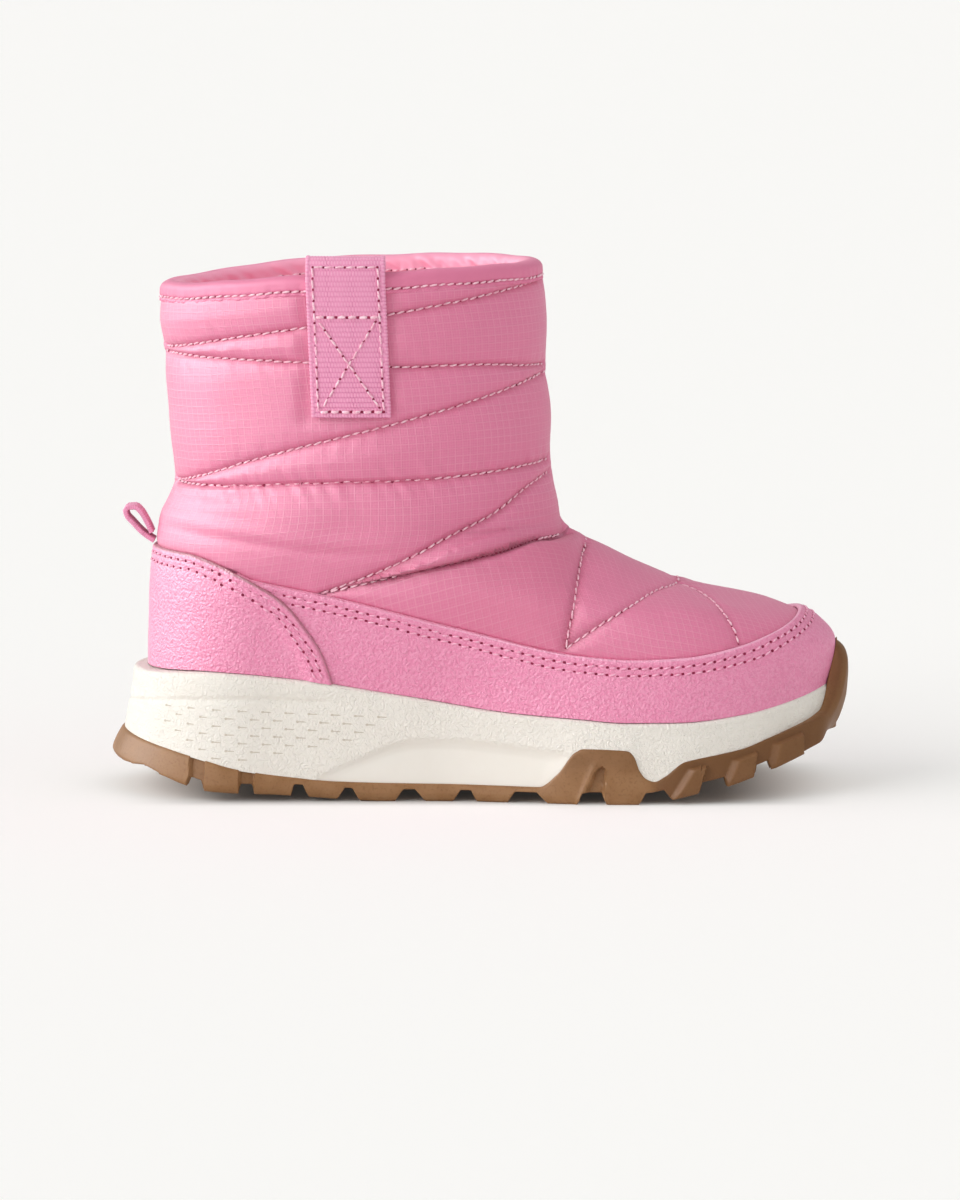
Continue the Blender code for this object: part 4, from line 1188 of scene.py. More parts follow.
def crease_relief(points):
    """Soft troughs with a ridge above each, at the places listed, weaker on the inner side."""
    relief = np.zeros(points.shape[:-1])
    for path, depth, half, ridge in CREASES:
        line_x, line_z = smooth_path(path, lambda length: np.linspace(0.0, length, CREASE_SAMPLES))
        gaps = np.hypot(points[..., :1] - line_x, points[..., 2:] - line_z)
        closest = np.argmin(gaps, axis=-1)
        near = np.min(gaps, axis=-1)
        fade = np.sin(math.pi * (0.05 + 0.9 * closest / (CREASE_SAMPLES - 1))) ** 0.6
        crest = ridge * bell(near - 2.0 * half, 1.3 * half) * (points[..., 2] > line_z[closest])
        relief = relief + (crest - depth * bell(near, half)) * fade
    return relief * np.where(points[..., 1] < 0.0, 1.0, CREASE_INNER)


class Quilt:
    """Padded outside of the upper."""

    def __init__(self):
        self.levels = upper_levels(0.0, *UPPER_ROWS)
        self.seams = SeamMap()
        self.last = around(self.levels, even_angles(UPPER_COLUMNS))
        self.normals = normals_of(self.last, True)
        self.relief, self.mark = self.find_relief()
        self.outside = self.last + self.normals * self.relief[..., None]
        self.skin = Skin(self.outside, normals_of(self.outside, True))

    def gap_to(self, level):
        """Distance of every point from one level line."""
        return Finder(around((level,), even_angles(EDGE_COLUMNS))[0]).nearest(self.last)[1]

    def find_relief(self):
        """Height over the last, and painted shade in the seams, above the fold and on the panel under it."""
        index, seam_gap = self.seams.finder.nearest(self.last)
        x = self.last[..., 0]
        z = self.last[..., 2]
        full = fullness(self.last)
        free = np.minimum(seam_gap, self.gap_to(1.0) + LOW_EDGE)
        relief = PUFF * round_over(np.maximum(free - SEAM_FLOOR, 0.0), PUFF_SPAN)
        top = TOP_EDGE_LIFT + (PUFF - TOP_EDGE_LIFT) * round_over(self.gap_to(2.0), PUFF_SPAN)
        sway = SWAY_DEPTH * soft_noise(self.last, SWAY_LENGTH, SWAY_SEED)
        relief = np.minimum(relief, top) * full + self.pucker_relief(index, seam_gap)
        relief = relief + sway * np.minimum(free / SWAY_FADE, 1.0)
        relief = relief + crease_relief(self.last) * np.minimum(free / CREASE_FADE, 1.0)
        relief = relief - SEAM_DIP * bell(seam_gap, SEAM_HALF)

        is_fold = self.seams.is_fold[index]
        above = z > self.seams.points[index][..., 2]
        strength = soft_step(self.seams.along[index], 0.0, FOLD_FADE)
        strength = strength * (1.0 - FOLD_WEAK_BY * soft_step(x, *FOLD_WEAK_X))
        lip = FOLD_RISE * strength * round_over(seam_gap, FOLD_LIP)
        lip = lip * (1.0 - soft_step(seam_gap, *FOLD_FALL))
        dent = FOLD_LOW * strength * (1.0 - soft_step(seam_gap, 0.0, FOLD_LOW_REACH))
        notch = NOTCH_DEPTH * soft_step(x, *NOTCH_FROM_X) * bell(seam_gap, NOTCH_HALF)
        relief = relief + np.where(is_fold, np.where(above, lip, -dent) - notch, 0.0)
        relief = relief * tab_press(self.last)

        # Painted shade: darker in the seams, above the fold and on the vamp panel below it
        dark = np.where(is_fold, 0.5 + 0.5 * strength, 0.35 + 0.3 * full)
        under_fold = soft_step(line_height(SEAMS[FOLD_SEAM], x) - z, 0.0, VAMP_PAINTED_SHADE_DROP)
        mark = dark * bell(seam_gap, SEAM_HALF)
        mark = mark + FOLD_PAINTED_SHADE * np.exp(-seam_gap / FOLD_PAINTED_SHADE_REACH) * strength * (is_fold & above)
        mark = mark + VAMP_PAINTED_SHADE * under_fold * between(x, *VAMP_PAINTED_SHADE_X)
        padded = self.levels[:, None] > 1.0
        edge = np.abs(self.levels[:, None] - 1.0) < TINY
        covered = np.where(edge, np.minimum(relief, EDGE_PUFF), -COVER_RECESS)
        return np.where(padded, relief, covered), np.minimum(mark * padded, 1.0)

    def pucker_relief(self, index, seam_gap):
        """Small gathers that run out from the stitching."""
        along = self.seams.along[index]
        number = self.seams.number[index]
        above = self.last[..., 2] - self.seams.points[index][..., 2]
        skew = along + PUCKER_SLANT * seam_gap * np.sign(above)
        folds = np.zeros_like(along)
        for wave, drift in PUCKER_WAVES:
            shift = number * PUCKER_SHIFT + PUCKER_DRIFT * np.sin(along / drift + number)
            folds = folds + np.sin(2.0 * math.pi * skew / wave + shift)
        reach = seam_gap / PUCKER_REACH
        return PUCKER_DEPTH * self.seams.pucker[index] * folds / 2.0 * reach * np.exp(1.0 - 2.0 * reach)

    def flat_map(self):
        """Two directions of the weave in millimetres: round and down the shaft, along and round the foot."""
        wrapped = np.concatenate((self.last, self.last[:, :1]), axis=1)
        round_way = lengths_along(wrapped, 1)
        round_way = round_way - round_way[:, -1:] / 2.0
        down = lengths_along(wrapped[::-1], 0)[::-1]
        x, y, z = np.moveaxis(wrapped, -1, 0)
        ridge = np.interp(x, [row[2] for row in RIDGE_ROWS], [row[0] for row in RIDGE_ROWS])
        over = np.abs(y - centre_line(x)) + ridge - z
        turn = math.radians(CLOTH_TURN)
        forward = x * math.cos(turn) - over * math.sin(turn)
        sideways = x * math.sin(turn) + over * math.cos(turn)
        on_foot = (z < line_height(SEAMS[FOLD_SEAM], x))[..., None]
        foot = np.stack((forward, sideways), axis=-1)
        return np.where(on_foot, foot, np.stack((round_way, down), axis=-1))

    def build(self, fabric):
        last_row = len(self.levels) - 1
        back_rows = [last_row, *range(0, last_row, SHELL_BACK_STEP)[::-1]]
        rear = self.last - self.normals * SHELL_THICK
        rear[-1, :, 2] = np.minimum(rear[-1, :, 2], self.last[-1, :, 2])
        rows = np.concatenate((self.outside, rear[back_rows]))
        flat = self.flat_map()
        flat = np.concatenate((flat, flat[back_rows], flat[:1]))
        mark = np.concatenate((self.mark, np.zeros((len(back_rows), UPPER_COLUMNS))))
        piece = Piece("quilted_shell")
        piece.grid(rows, wrap_rows=True, wrap_columns=True, flat=flat, marks=mark)
        piece.build([fabric], "upper", "quilted_fabric")

    def sew(self, thread, hole):
        stitching = Stitching("quilt", self.skin)
        for name, _, line in self.seams.lines:
            x = line[:, 0]
            plain = [line]
            if name == FOLD_SEAM:
                on_fold = x < FOLD_ENDS_X
                self.shadow_line(stitching.holes, line[(x > FOLD_HIDDEN[0] - SHADOW_LEAD) & on_fold])
                plain = [line[x <= FOLD_HIDDEN[0]], line[(x >= FOLD_HIDDEN[1]) & on_fold]]
            elif name == SUNK_SEAM:
                stitching.sew(line[(x > SUNK_X[0]) & (x < SUNK_X[1])], SUNK_STITCH, SUNK_LIFT)
                plain = [line[x <= SUNK_X[0]], line[x >= SUNK_X[1]]]
            for part in plain:
                stitching.sew(part, QUILT_STITCH, QUILT_LIFT)
        stitching.build(thread, hole, "quilted_fabric")

    def shadow_line(self, holes, line):
        """Painted shadow: a dark cord in the bottom of the fold, where no thread shows."""
        centres, tangents = stitch_places(line, SHADOW_PITCH)
        centres, normals = self.skin.lay(centres, 0.0)
        bars(holes, smooth_line(centres), tangents, normals, SHADOW_LENGTH, SHADOW_HALF,
             flatten=SHADOW_FLATTEN)


def make_lining(fleece):
    """Pile lining from under the binding down to the insole."""
    levels = upper_levels(LINING_FROM, *LINING_ROWS)
    last = around(levels, even_angles(LINING_COLUMNS))
    normals = normals_of(last, True)
    wall = FOOT_WALL + (SHAFT_WALL - FOOT_WALL) * soft_step(levels, 1.0, 1.0 + VAMP_SPAN)
    pile = sum(height * soft_noise(last, length, seed) for height, length, seed in PILE_WAVES)
    pile = pile * (1.0 - soft_step(levels[:, None], *PILE_ENDS))
    inside = last - normals * (wall[:, None] + pile)[..., None]
    rear = last - normals * (SHELL_THICK + FIT_GAP)
    for rows in (inside, rear):
        rows[-1, :, 2] = np.minimum(rows[-1, :, 2], last[-1, :, 2])
    back_rows = [*range(0, len(levels), LINING_BACK_STEP), len(levels) - 1]
    piece = Piece("pile_lining")
    piece.grid(np.concatenate((rear[back_rows], inside[::-1])), wrap_rows=True, wrap_columns=True)
    piece.build([fleece], "upper", "insole_fleece")


# Binding, tab and loop

def binding_profile():
    """Distances from the middle of the wall and heights of the tape, up outside, over and down inside."""
    half = SHAFT_WALL / 2.0 + BINDING_PROUD
    sides = np.array(BINDING_SIDES)
    hem = half - BINDING_HEM + BINDING_HEM * round_over(sides - sides[0], BINDING_HEM)
    drawn = BINDING_DRAW * bell(sides - sides[BINDING_ROW], BINDING_DRAW_HALF)
    profile = list(zip(hem - drawn, sides))
    for angle in np.linspace(0.0, math.pi, BINDING_CROWN_RINGS):
        rise = (BINDING_HEIGHT - BINDING_CROWN) * math.sin(angle) ** 0.85
        profile.append((half * math.cos(angle), BINDING_CROWN + rise))
    return profile + list(zip(-hem[::-1], sides[::-1]))


def make_binding(tape, thread, hole):
    """Rolled tape round the collar, stitched near its lower edge on both sides."""
    rows = around(BINDING_LEVELS, even_angles(BINDING_COLUMNS))
    rim = rows[1]
    outward = unit(normals_of(rows, True)[1] * np.array((1.0, 1.0, 0.0)))
    reach = lengths_along(np.concatenate((rim, rim[:1])), 0)
    along = reach[:-1]
    rings = []
    for out, up in binding_profile():
        low = max(0.0, 1.0 - up / GATHER_FADE)
        pull = GATHER * low * ripple(along, *GATHER_LENGTHS)
        if out < 0.0:
            pull = pull - SLACK * (SLACK_TOP + low) * ripple(along + SLACK_SLANT * up, *SLACK_LENGTHS)
        ring = rim + outward * (out - SHAFT_WALL / 2.0 + pull)[:, None]
        ring[:, 2] += up + BINDING_WAVE * ripple(along, BINDING_WAVE_LENGTH)
        rings.append(ring)
    rings = np.array(rings)
    down = lengths_along(np.concatenate((rings, rings[:1])), 0)
    down = np.concatenate((down, down[:, :1]), axis=1)
    # Painted shade along the rows where the stitches draw the tape in
    mark = np.zeros(rings.shape[:2])
    mark[BINDING_ROW - 1:BINDING_ROW + 2] = BINDING_PAINTED_SHADE
    piece = Piece("collar_tape")
    flat = np.stack(np.broadcast_arrays(reach, down), axis=-1)
    piece.grid(rings, wrap_rows=True, wrap_columns=True, flat=flat, marks=mark)
    piece.build([tape], "collar_binding", "binding_tape")
    stitching = Stitching("collar", Skin(rings, normals_of(rings, True)))
    for row in (BINDING_ROW, -BINDING_ROW - 1):
        stitching.sew(np.concatenate((rings[row], rings[row][:1])), BINDING_STITCH, BINDING_LIFT)
    stitching.build(thread, hole, "binding_tape")


def tab_lean(z):
    """How far the webbing leans forward: it stands a little back at its top."""
    return TAB_LEAN * ((TAB_LOW + TAB_TOP) / 2.0 - z) / (TAB_TOP - TAB_LOW)


def tab_middle(x):
    """Middle of the webbing, row by row: up the outer side, over the collar and down inside."""
    lift = TAB_LIFT + TAB_THICK / 2.0
    drop = SHAFT_WALL + BINDING_PROUD + FIT_GAP + TAB_THICK / 2.0
    rows = []
    step = TAB_RIB / TAB_ROWS_PER_RIB
    for z in np.arange(TAB_LOW, TAB_SHOULDER, step):
        rows.append(last_points(x + tab_lean(z), np.full_like(x, z), -1.0) - np.array((0.0, lift, 0.0)))
    x = x + tab_lean(TAB_SHOULDER)
    rim = last_points(x, np.full_like(x, TAB_SHOULDER), -1.0)
    for angle in np.linspace(0.0, math.pi, TAB_TURN_ROWS):
        over = (drop - lift) / 2.0 - (drop + lift) / 2.0 * math.cos(angle)
        rise = (TAB_TOP - TAB_SHOULDER) * math.sin(angle) ** 0.8
        rows.append(rim + np.array((0.0, over, rise)))
    for z in np.arange(TAB_SHOULDER - step, TAB_INSIDE_LOW, -step):
        rows.append(last_points(x, np.full_like(x, z), -1.0) + np.array((0.0, drop, 0.0)))
    return np.array(rows)


def ribbon(name, middle, thickness, weave_sizes, material, node, slot):
    """Woven band along a middle surface: short floats in staggered rows, and beaded selvages."""
    rib, float_width = weave_sizes
    normals = normals_of(middle, False)
    up = lengths_along(middle, 0)
    across = lengths_along(middle, 1)
    width = across[:, -1:]
    edge = np.minimum(across, width - across)
    stagger = 0.5 * np.mod(np.floor(up / rib), 2.0)
    ribs = np.abs(np.sin(math.pi * up / rib)) ** 0.35
    floats = np.abs(np.sin(math.pi * (across / float_width + stagger))) ** 0.7
    beads = np.abs(np.sin(math.pi * up / (SELVAGE_BEAD * rib)))
    selvage = 1.0 - soft_step(edge, *SELVAGE)
    weave = (0.12 + 0.2 * ribs + 0.68 * ribs * floats) * (1.0 - selvage) + (0.3 + 0.7 * beads) * selvage
    body = thickness / 2.0 * (0.45 + 0.55 * round_over(edge, RIBBON_ROUND))
    body = body + WEAVE_RISE * (weave - 0.5) + SELVAGE_RISE * selvage
    knots = KNOT_OUT * beads * (edge < KNOT_EDGE) * np.sign(across - width / 2.0)
    middle = middle + unit(np.gradient(middle, axis=1)) * knots[..., None]
    outer = middle + normals * body[..., None]
    inner = middle - normals * body[..., None]
    piece = Piece(name)
    # The weave also goes in as the mark, which paints shade and highlight on the webbing
    slab(piece, outer, inner, weave)
    piece.build([material], node, slot)
    return outer, inner


def make_pull_tab(webbing, thread, hole):
    middle = tab_middle(np.linspace(TAB_BACK_X, TAB_FRONT_X, TAB_COLUMNS))
    faces = ribbon("webbing_tab", middle, TAB_THICK, (TAB_RIB, TAB_FLOAT), webbing,
                   "pull_tab", "tab_webbing")
    outer = min(faces, key=lambda face: face[TAB_SAMPLE])
    normals = normals_of(outer, False)
    skin = Skin(outer, normals * np.sign(-normals[TAB_SAMPLE]))
    stitching = Stitching("tab", skin)
    back = TAB_BACK_X + TAB_STITCH_IN
    front = TAB_FRONT_X - TAB_STITCH_IN
    cross_x = (back + TAB_CROSS_IN, front - TAB_CROSS_IN)
    cross_z = (TAB_BOX_LOW + TAB_CROSS_IN, TAB_BOX_TOP - TAB_CROSS_IN)
    runs = (
        ((back, back), (TAB_BOX_LOW, TAB_TOP_ROW), TAB_STITCH),
        ((front, front), (TAB_BOX_LOW, TAB_TOP_ROW), TAB_STITCH),
        ((back, front), (TAB_BOX_LOW, TAB_BOX_LOW), TAB_CROSS_STITCH),
        ((back, front), (TAB_BOX_TOP, TAB_BOX_TOP), TAB_CROSS_STITCH),
        ((back, front), (TAB_TOP_ROW, TAB_TOP_ROW), TAB_STITCH),
        (cross_x, cross_z[::-1], TAB_STITCH),
        (cross_x, cross_z, TAB_STITCH),
    )
    for ends_x, ends_z, stitch in runs:
        z = np.linspace(*ends_z, TAB_RUN_POINTS)
        on_side = np.minimum(z, TAB_SHOULDER)
        line = last_points(np.linspace(*ends_x, TAB_RUN_POINTS) + tab_lean(on_side), on_side, -1.0)
        line[:, 1] -= TAB_LIFT + TAB_THICK
        line[:, 2] = z
        stitching.sew(skin.lay(line, 0.0)[0], stitch, TAB_STITCH_LIFT)
    stitching.build(thread, hole, "tab_webbing")


def make_heel_loop(webbing):
    x, z = smooth_path(LOOP_PATH, lambda length: np.linspace(0.0, length, LOOP_ROWS))
    y = np.linspace(-LOOP_WIDTH / 2.0, LOOP_WIDTH / 2.0, LOOP_COLUMNS)
    middle = np.stack(np.broadcast_arrays(x[:, None], y[None, :], z[:, None]), axis=-1)
    ribbon("heel_ribbon", middle, LOOP_THICK, (LOOP_RIB, LOOP_FLOAT), webbing, "heel_loop", "loop_ribbon")


# Leather overlays

def counter_edge(levels):
    """Front edge of the heel counter on each level line."""
    def above_edge(x):
        return level_height(x, levels) - line_height(COUNTER_TOP, x) - TINY

    return bisect(above_edge, *COUNTER_LIMITS, levels.shape)


def overlay_rows(levels, turn, edge, end):
    """Level lines from an edge on the outer side, round one end of the last, to the inner side."""
    tip = end_of_line(lambda x: level_height(x, levels), end, levels.shape)
    x = edge + (tip - edge) * np.cos(turn)
    return last_points(x, level_height(x, levels), np.sign(turn))


def overlay_levels():
    """Levels of an overlay's rows, closer together towards its top."""
    share = np.linspace(0.0, 1.0, OVERLAY_ROWS)
    return (OVERLAY_LOW + (1.0 - OVERLAY_LOW) * (1.0 - (1.0 - share) ** 1.6))[:, None]


def leather_sheet(name, rows, thickness, edge_gap, stitch_rows, under, materials, node):
    """Leather cut to an outline, bevelled at its cut edges and drawn in along its stitch rows."""
    normals = normals_of(rows, False)
    drawn = sum(STITCH_DRAW * bell(edge_gap - row, STITCH_DRAW_HALF) for row in stitch_rows)
    body = thickness * (EDGE_LEAST + (1.0 - EDGE_LEAST) * round_over(edge_gap, EDGE_BEVEL)) - drawn
    inner = rows + normals * (FIT_GAP + under)[..., None]
    outer = rows + normals * (FIT_GAP + under + body)[..., None]
    piece = Piece(name)
    slab(piece, outer, inner, 1.0 - soft_step(edge_gap, EDGE_SHOWN * 0.6, EDGE_SHOWN), edge_skin=1)
    piece.build(materials, node, "coated_leather")
    return Skin(outer, normals_of(outer, False))


def make_mudguard(leather, edge, thread, hole):
    levels = overlay_levels()
    turn = np.linspace(math.pi / 2.0, -math.pi / 2.0, MUDGUARD_COLUMNS)
    rows = overlay_rows(levels, turn, counter_edge(levels) - COUNTER_OVERLAP, "front")
    top_gap = Finder(rows[-1]).nearest(rows)[1]
    skin = leather_sheet("leather_mudguard", rows, MUDGUARD_THICK, top_gap, MUDGUARD_ROWS,
                         np.zeros(rows.shape[:2]), [leather, edge], "mudguard")
    stitching = Stitching("mudguard", skin)
    covered = line_height(COUNTER_TOP, rows[..., 0]) + 0.5
    columns = np.arange(rows.shape[1])
    for distance in MUDGUARD_ROWS:
        nearest = np.argmin(np.abs(top_gap - distance), axis=0)
        line = rows[nearest, columns]
        line = line[line[:, 2] > covered[nearest, columns]]
        stitching.sew(smooth_line(line), LEATHER_STITCH, LEATHER_LIFT)
    stitching.build(thread, hole, "coated_leather")


def make_counter(leather, edge, thread, hole):
    levels = overlay_levels()
    turn = np.linspace(-math.pi / 2.0, math.pi / 2.0, COUNTER_COLUMNS)
    rows = overlay_rows(levels, turn, counter_edge(levels), "back")
    front_edge = np.concatenate((rows[:, 0], rows[:, -1]))
    edge_gap = Finder(np.concatenate((rows[-1], front_edge))).nearest(rows)[1]
    front_gap = Finder(front_edge).nearest(rows)[1]
    under = (MUDGUARD_THICK + LAP_GAP) * (1.0 - soft_step(front_gap, *LAP_FADE))
    skin = leather_sheet("leather_counter", rows, COUNTER_THICK - under * LAP_THINNING, edge_gap,
                         COUNTER_ROWS, under, [leather, edge], "heel_counter")
    stitching = Stitching("counter", skin)
    for distance in COUNTER_ROWS:
        for side in (-1.0, 1.0):
            stitching.sew(counter_row(distance, side), LEATHER_STITCH, LEATHER_LIFT)
    stitching.build(thread, hole, "coated_leather")


def counter_row(distance, side):
    """Line on the heel counter at one distance inside its edge, from the front up to the heel."""
    x = np.linspace(*COUNTER_RUN_X, COUNTER_RUN_POINTS)
    z = line_height(COUNTER_TOP, x)
    slope = np.gradient(z, x)
    scale = distance / np.sqrt(1.0 + slope ** 2)
    inside_x = x + slope * scale
    inside_z = z - scale
    last = last_at(inside_z)
    kept = (inside_x > last["back"] + 0.05) & (inside_z > line_height(FEATHER, inside_x) + 1.0)
    return last_points(inside_x[kept], inside_z[kept], side)


# Sole

class SoleOutline:
    """Stations round the sole on the last's feather line, with the sizes of the sole at each."""

    def __init__(self, count):
        self.count = count
        self.points = around((0.0,), even_angles(count))[0] * np.array((1.0, 1.0, 0.0))
        tangent = np.roll(self.points, -1, axis=0) - np.roll(self.points, 1, axis=0)
        self.normals = unit(np.stack((-tangent[:, 1], tangent[:, 0], tangent[:, 2]), axis=-1))
        self.x = self.points[:, 0]
        self.flare = table_at(SOLE_FLARE, SOLE_COLUMNS, self.x)
        self.feather = line_height(FEATHER, self.x)
        self.bottom = line_height(SOLE_BOTTOM, self.x)
        self.border = self.border_with_bumper()
        self.floor = np.minimum(self.bottom + LUG_DEPTH + TREAD_BASE, self.border - SHORTEST_RIM)
        self.along = self.way_back()

    def border_with_bumper(self):
        border = line_height(BORDER, self.x)
        aside = np.abs(self.points[:, 1] - centre_line(self.x))
        rise = (1.0 - soft_step(aside, 0.0, BUMPER_REACH)) * (self.x > BALL_X)
        return border + (BUMPER_TOP - border) * rise

    def way_back(self):
        """Distance along the edge from the middle of the boot, falling towards the heel on both sides."""
        half = self.count // 2
        reach = lengths_along(self.points, 0)
        middle = np.argmin(np.abs(self.x[:half]))
        outer = reach[middle] - reach
        mirrored = np.concatenate((outer[:1], outer[:0:-1]))
        return np.where(np.arange(self.count) <= half, outer, mirrored)

    def ring(self, out, z):
        ring = self.points + self.normals * np.broadcast_to(out, self.x.shape)[:, None]
        ring[:, 2] = z
        return ring

    def feather_ring(self, out, lift):
        """Ring that follows the feather line at its own place along the boot."""
        ring = self.ring(out, 0.0)
        ring[:, 2] = line_height(FEATHER, ring[:, 0]) + lift
        return ring


def across_grid(ring, columns):
    """Straight strips from the outer half of a ring to its inner half, as rows of points."""
    half = len(ring) // 2
    outer = ring[1:half]
    inner = ring[:half:-1]
    share = np.linspace(0.0, 1.0, columns)[None, :, None]
    return outer[:, None, :] * (1.0 - share) + inner[:, None, :] * share


def close_ring(piece, index, ring, columns=2, height=None):
    """Close a ring of points with strips across it, whose inner points may get heights of their own."""
    half = len(ring) // 2
    grid = across_grid(ring, columns)
    if height is not None:
        grid[:, 1:-1, 2] = height(grid[:, 1:-1, 0], grid[:, 1:-1, 1])
    middle = piece.add_points(grid[:, 1:-1]).reshape(half - 1, columns - 2)
    table = np.concatenate((index[1:half, None], middle, index[:half:-1][:, None]), axis=1)
    piece.add_faces(corners_of(table).reshape(-1, 4))
    for tip, row in ((index[0], table[0]), (index[half], table[-1])):
        piece.add_faces(np.stack((np.full(columns - 1, tip), row[:-1], row[1:]), axis=1))


def paint_dash_shadows(sole, rings, shade):
    """Painted shadows of moulded dashes: staggered rows of dark bars at the heel, wider at the heel end."""
    skin = Skin(rings, normals_of(rings, True))
    edge = sole.points + sole.normals * sole.flare["border"][:, None]
    half = sole.count // 2
    piece = Piece("foam_dash_shadows")
    for side in (np.arange(1, half), np.arange(sole.count - 1, half, -1)):
        order = side[np.argsort(sole.along[side])]
        for number, (back, front) in enumerate(DASH_ROWS):
            places = np.arange(DASH_FIRST - DASH_PITCH * 0.5 * (number % 2), back, -DASH_PITCH)
            places = places[places < front + DASH_SLIP]
            spots = points_at(places, sole.along[order], edge[order])
            tangents = points_at(places + 1.0, sole.along[order], edge[order]) - spots
            tangents[:, 2] = -DASH_FALL
            tangents = unit(tangents)
            spots[:, 2] = DASH_TOP - DASH_FALL * (places - DASH_AT_X) - number * DASH_ROW_PITCH
            centres, normals = skin.lay(spots, 0.0)
            long_ones = places > DASH_SHORT_FROM
            for kept, length in ((long_ones, DASH_LENGTH), (~long_ones, DASH_LENGTH * DASH_SHORT)):
                bars(piece, centres[kept], tangents[kept], normals[kept], length, DASH_HALF, flatten=0.3)
            ends = skin.lay(spots - tangents * (DASH_LENGTH - DASH_END) / 2.0, 0.0)[0]
            bars(piece, ends, tangents, normals, DASH_END, DASH_END_HALF, flatten=0.2)
    piece.build([shade], slot="midsole_foam")


def make_midsole(sole, foam, dash_painted_shade):
    """Foam wedge with a soft rim, a step at the heel, painted dash shadows and a scooped side at the waist.
    """
    flare = sole.flare
    low = np.minimum(sole.border, sole.feather - LEAST_MIDSOLE) - TUCK
    drop = sole.feather - low
    scoop_top = line_height(SCOOP_LINE, sole.x)
    in_scoop = (sole.x > SCOOP_LINE[0][0]) & (sole.x < SCOOP_LINE[-1][0])
    step_top = line_height(STEP_LINE, sole.x)
    step_fade = 1.0 - soft_step(sole.x, *STEP_FADE)
    lower_rows = MIDSOLE_ROWS - STEEP_SHARES[2] - len(RIM_SHARES) + 1
    shares = np.concatenate((RIM_SHARES, np.linspace(*STEEP_SHARES),
                             np.linspace(STEEP_SHARES[1], 1.0, lower_rows)[1:]))
    rings = [sole.feather_ring(flare["rim"] - RIM_INSET, -0.02)]
    marks = [np.zeros(sole.count)]
    for share in shares:
        z = sole.feather - share * drop
        under = scoop_top - z
        out = flare["rim"] + (flare["border"] - flare["rim"]) * line_height(SIDE_PROFILE, share)
        rim = RIM_ROUND * (1.0 - round_over(share * drop, RIM_REACH))
        to_step = np.clip((sole.feather - z) / (sole.feather - step_top), 0.0, 1.0)
        bulge = SIDE_BULGE * np.sin(math.pi * to_step)
        step = STEP_DEPTH * bell(step_top - z - STEP_DROP, STEP_HALF)
        scoop = SCOOP_DEPTH * (1.0 - SCOOP_FADE_BY * soft_step(share, *SCOOP_FADE))
        scoop = scoop * soft_step(under, *SCOOP_EDGE) * in_scoop
        ring = sole.ring(out - rim + (bulge - step) * step_fade - scoop, z)
        if share < STEEP_SHARES[0]:
            ring[:, 2] = line_height(FEATHER, ring[:, 0]) - share * drop
        rings.append(ring)
        marks.append(soft_step(under, *SCOOP_SHADE_EDGE) * in_scoop)
    rings.append(sole.ring(flare["core"], low))
    rings.append(sole.ring(flare["core"], np.minimum(sole.floor + FIT_GAP, low - FIT_GAP)))
    marks += [np.zeros(sole.count)] * 2
    rings = np.array(rings)
    piece = Piece("foam_midsole")
    index = piece.grid(rings, wrap_columns=True, marks=np.array(marks))
    close_ring(piece, index[0], rings[0])
    close_ring(piece, index[-1], rings[-1])
    piece.build([foam], "midsole", "midsole_foam")
    paint_dash_shadows(sole, rings[6:-2], dash_painted_shade)


def make_insole(sole, fleece):
    inset = -(FOOT_WALL + INSOLE_GAP)
    top = FIT_GAP + INSOLE_THICK
    edge = ((inset - 0.9, top), (inset - 0.25, top - 0.3), (inset, top - 0.9), (inset, FIT_GAP))
    rings = np.array([sole.feather_ring(out, lift) for out, lift in edge])
    depth, length, seed = INSOLE_PILE

    def pile(x, y):
        place = np.stack((x, y, 0.0 * x), axis=-1)
        return line_height(FEATHER, x) + top + depth * soft_noise(place, length, seed)

    piece = Piece("pile_insole")
    index = piece.grid(rings, wrap_columns=True)
    close_ring(piece, index[0], rings[0], INSOLE_COLUMNS, pile)
    close_ring(piece, index[-1], rings[-1])
    piece.build([fleece], "insole", "insole_fleece")


def groove_depth(x):
    """Height that the cross grooves cut up from the tread."""
    depth = np.zeros_like(x)
    for low_from, low_to, top_from, top_to, top in GROOVES:
        back_slope = max((top_from - low_from) / top, STEEPEST)
        front_slope = max((low_to - top_to) / top, STEEPEST)
        most = min(top, LUG_DEPTH) if top > TALL_GROOVE else top
        cut = np.minimum(np.minimum((x - low_from) / back_slope, (low_to - x) / front_slope), most)
        depth = np.maximum(depth, cut)
    return depth


def tread_depth(x, y):
    """Depth of the tread pattern: cross grooves, staggered along the middle, and two channels."""
    aside = CHANNEL_HALF - np.abs(np.abs(y) - CHANNEL_Y)
    inside = np.minimum(x - CHANNEL_BACK_X, CHANNEL_FRONT_X - x)
    channel = np.clip(np.minimum(aside, inside) / CHANNEL_SLOPE, 0.0, LUG_DEPTH)
    cross = np.where(np.abs(y) < STAGGER_HALF, groove_depth(x + STAGGER), groove_depth(x))
    return np.maximum(cross, channel)


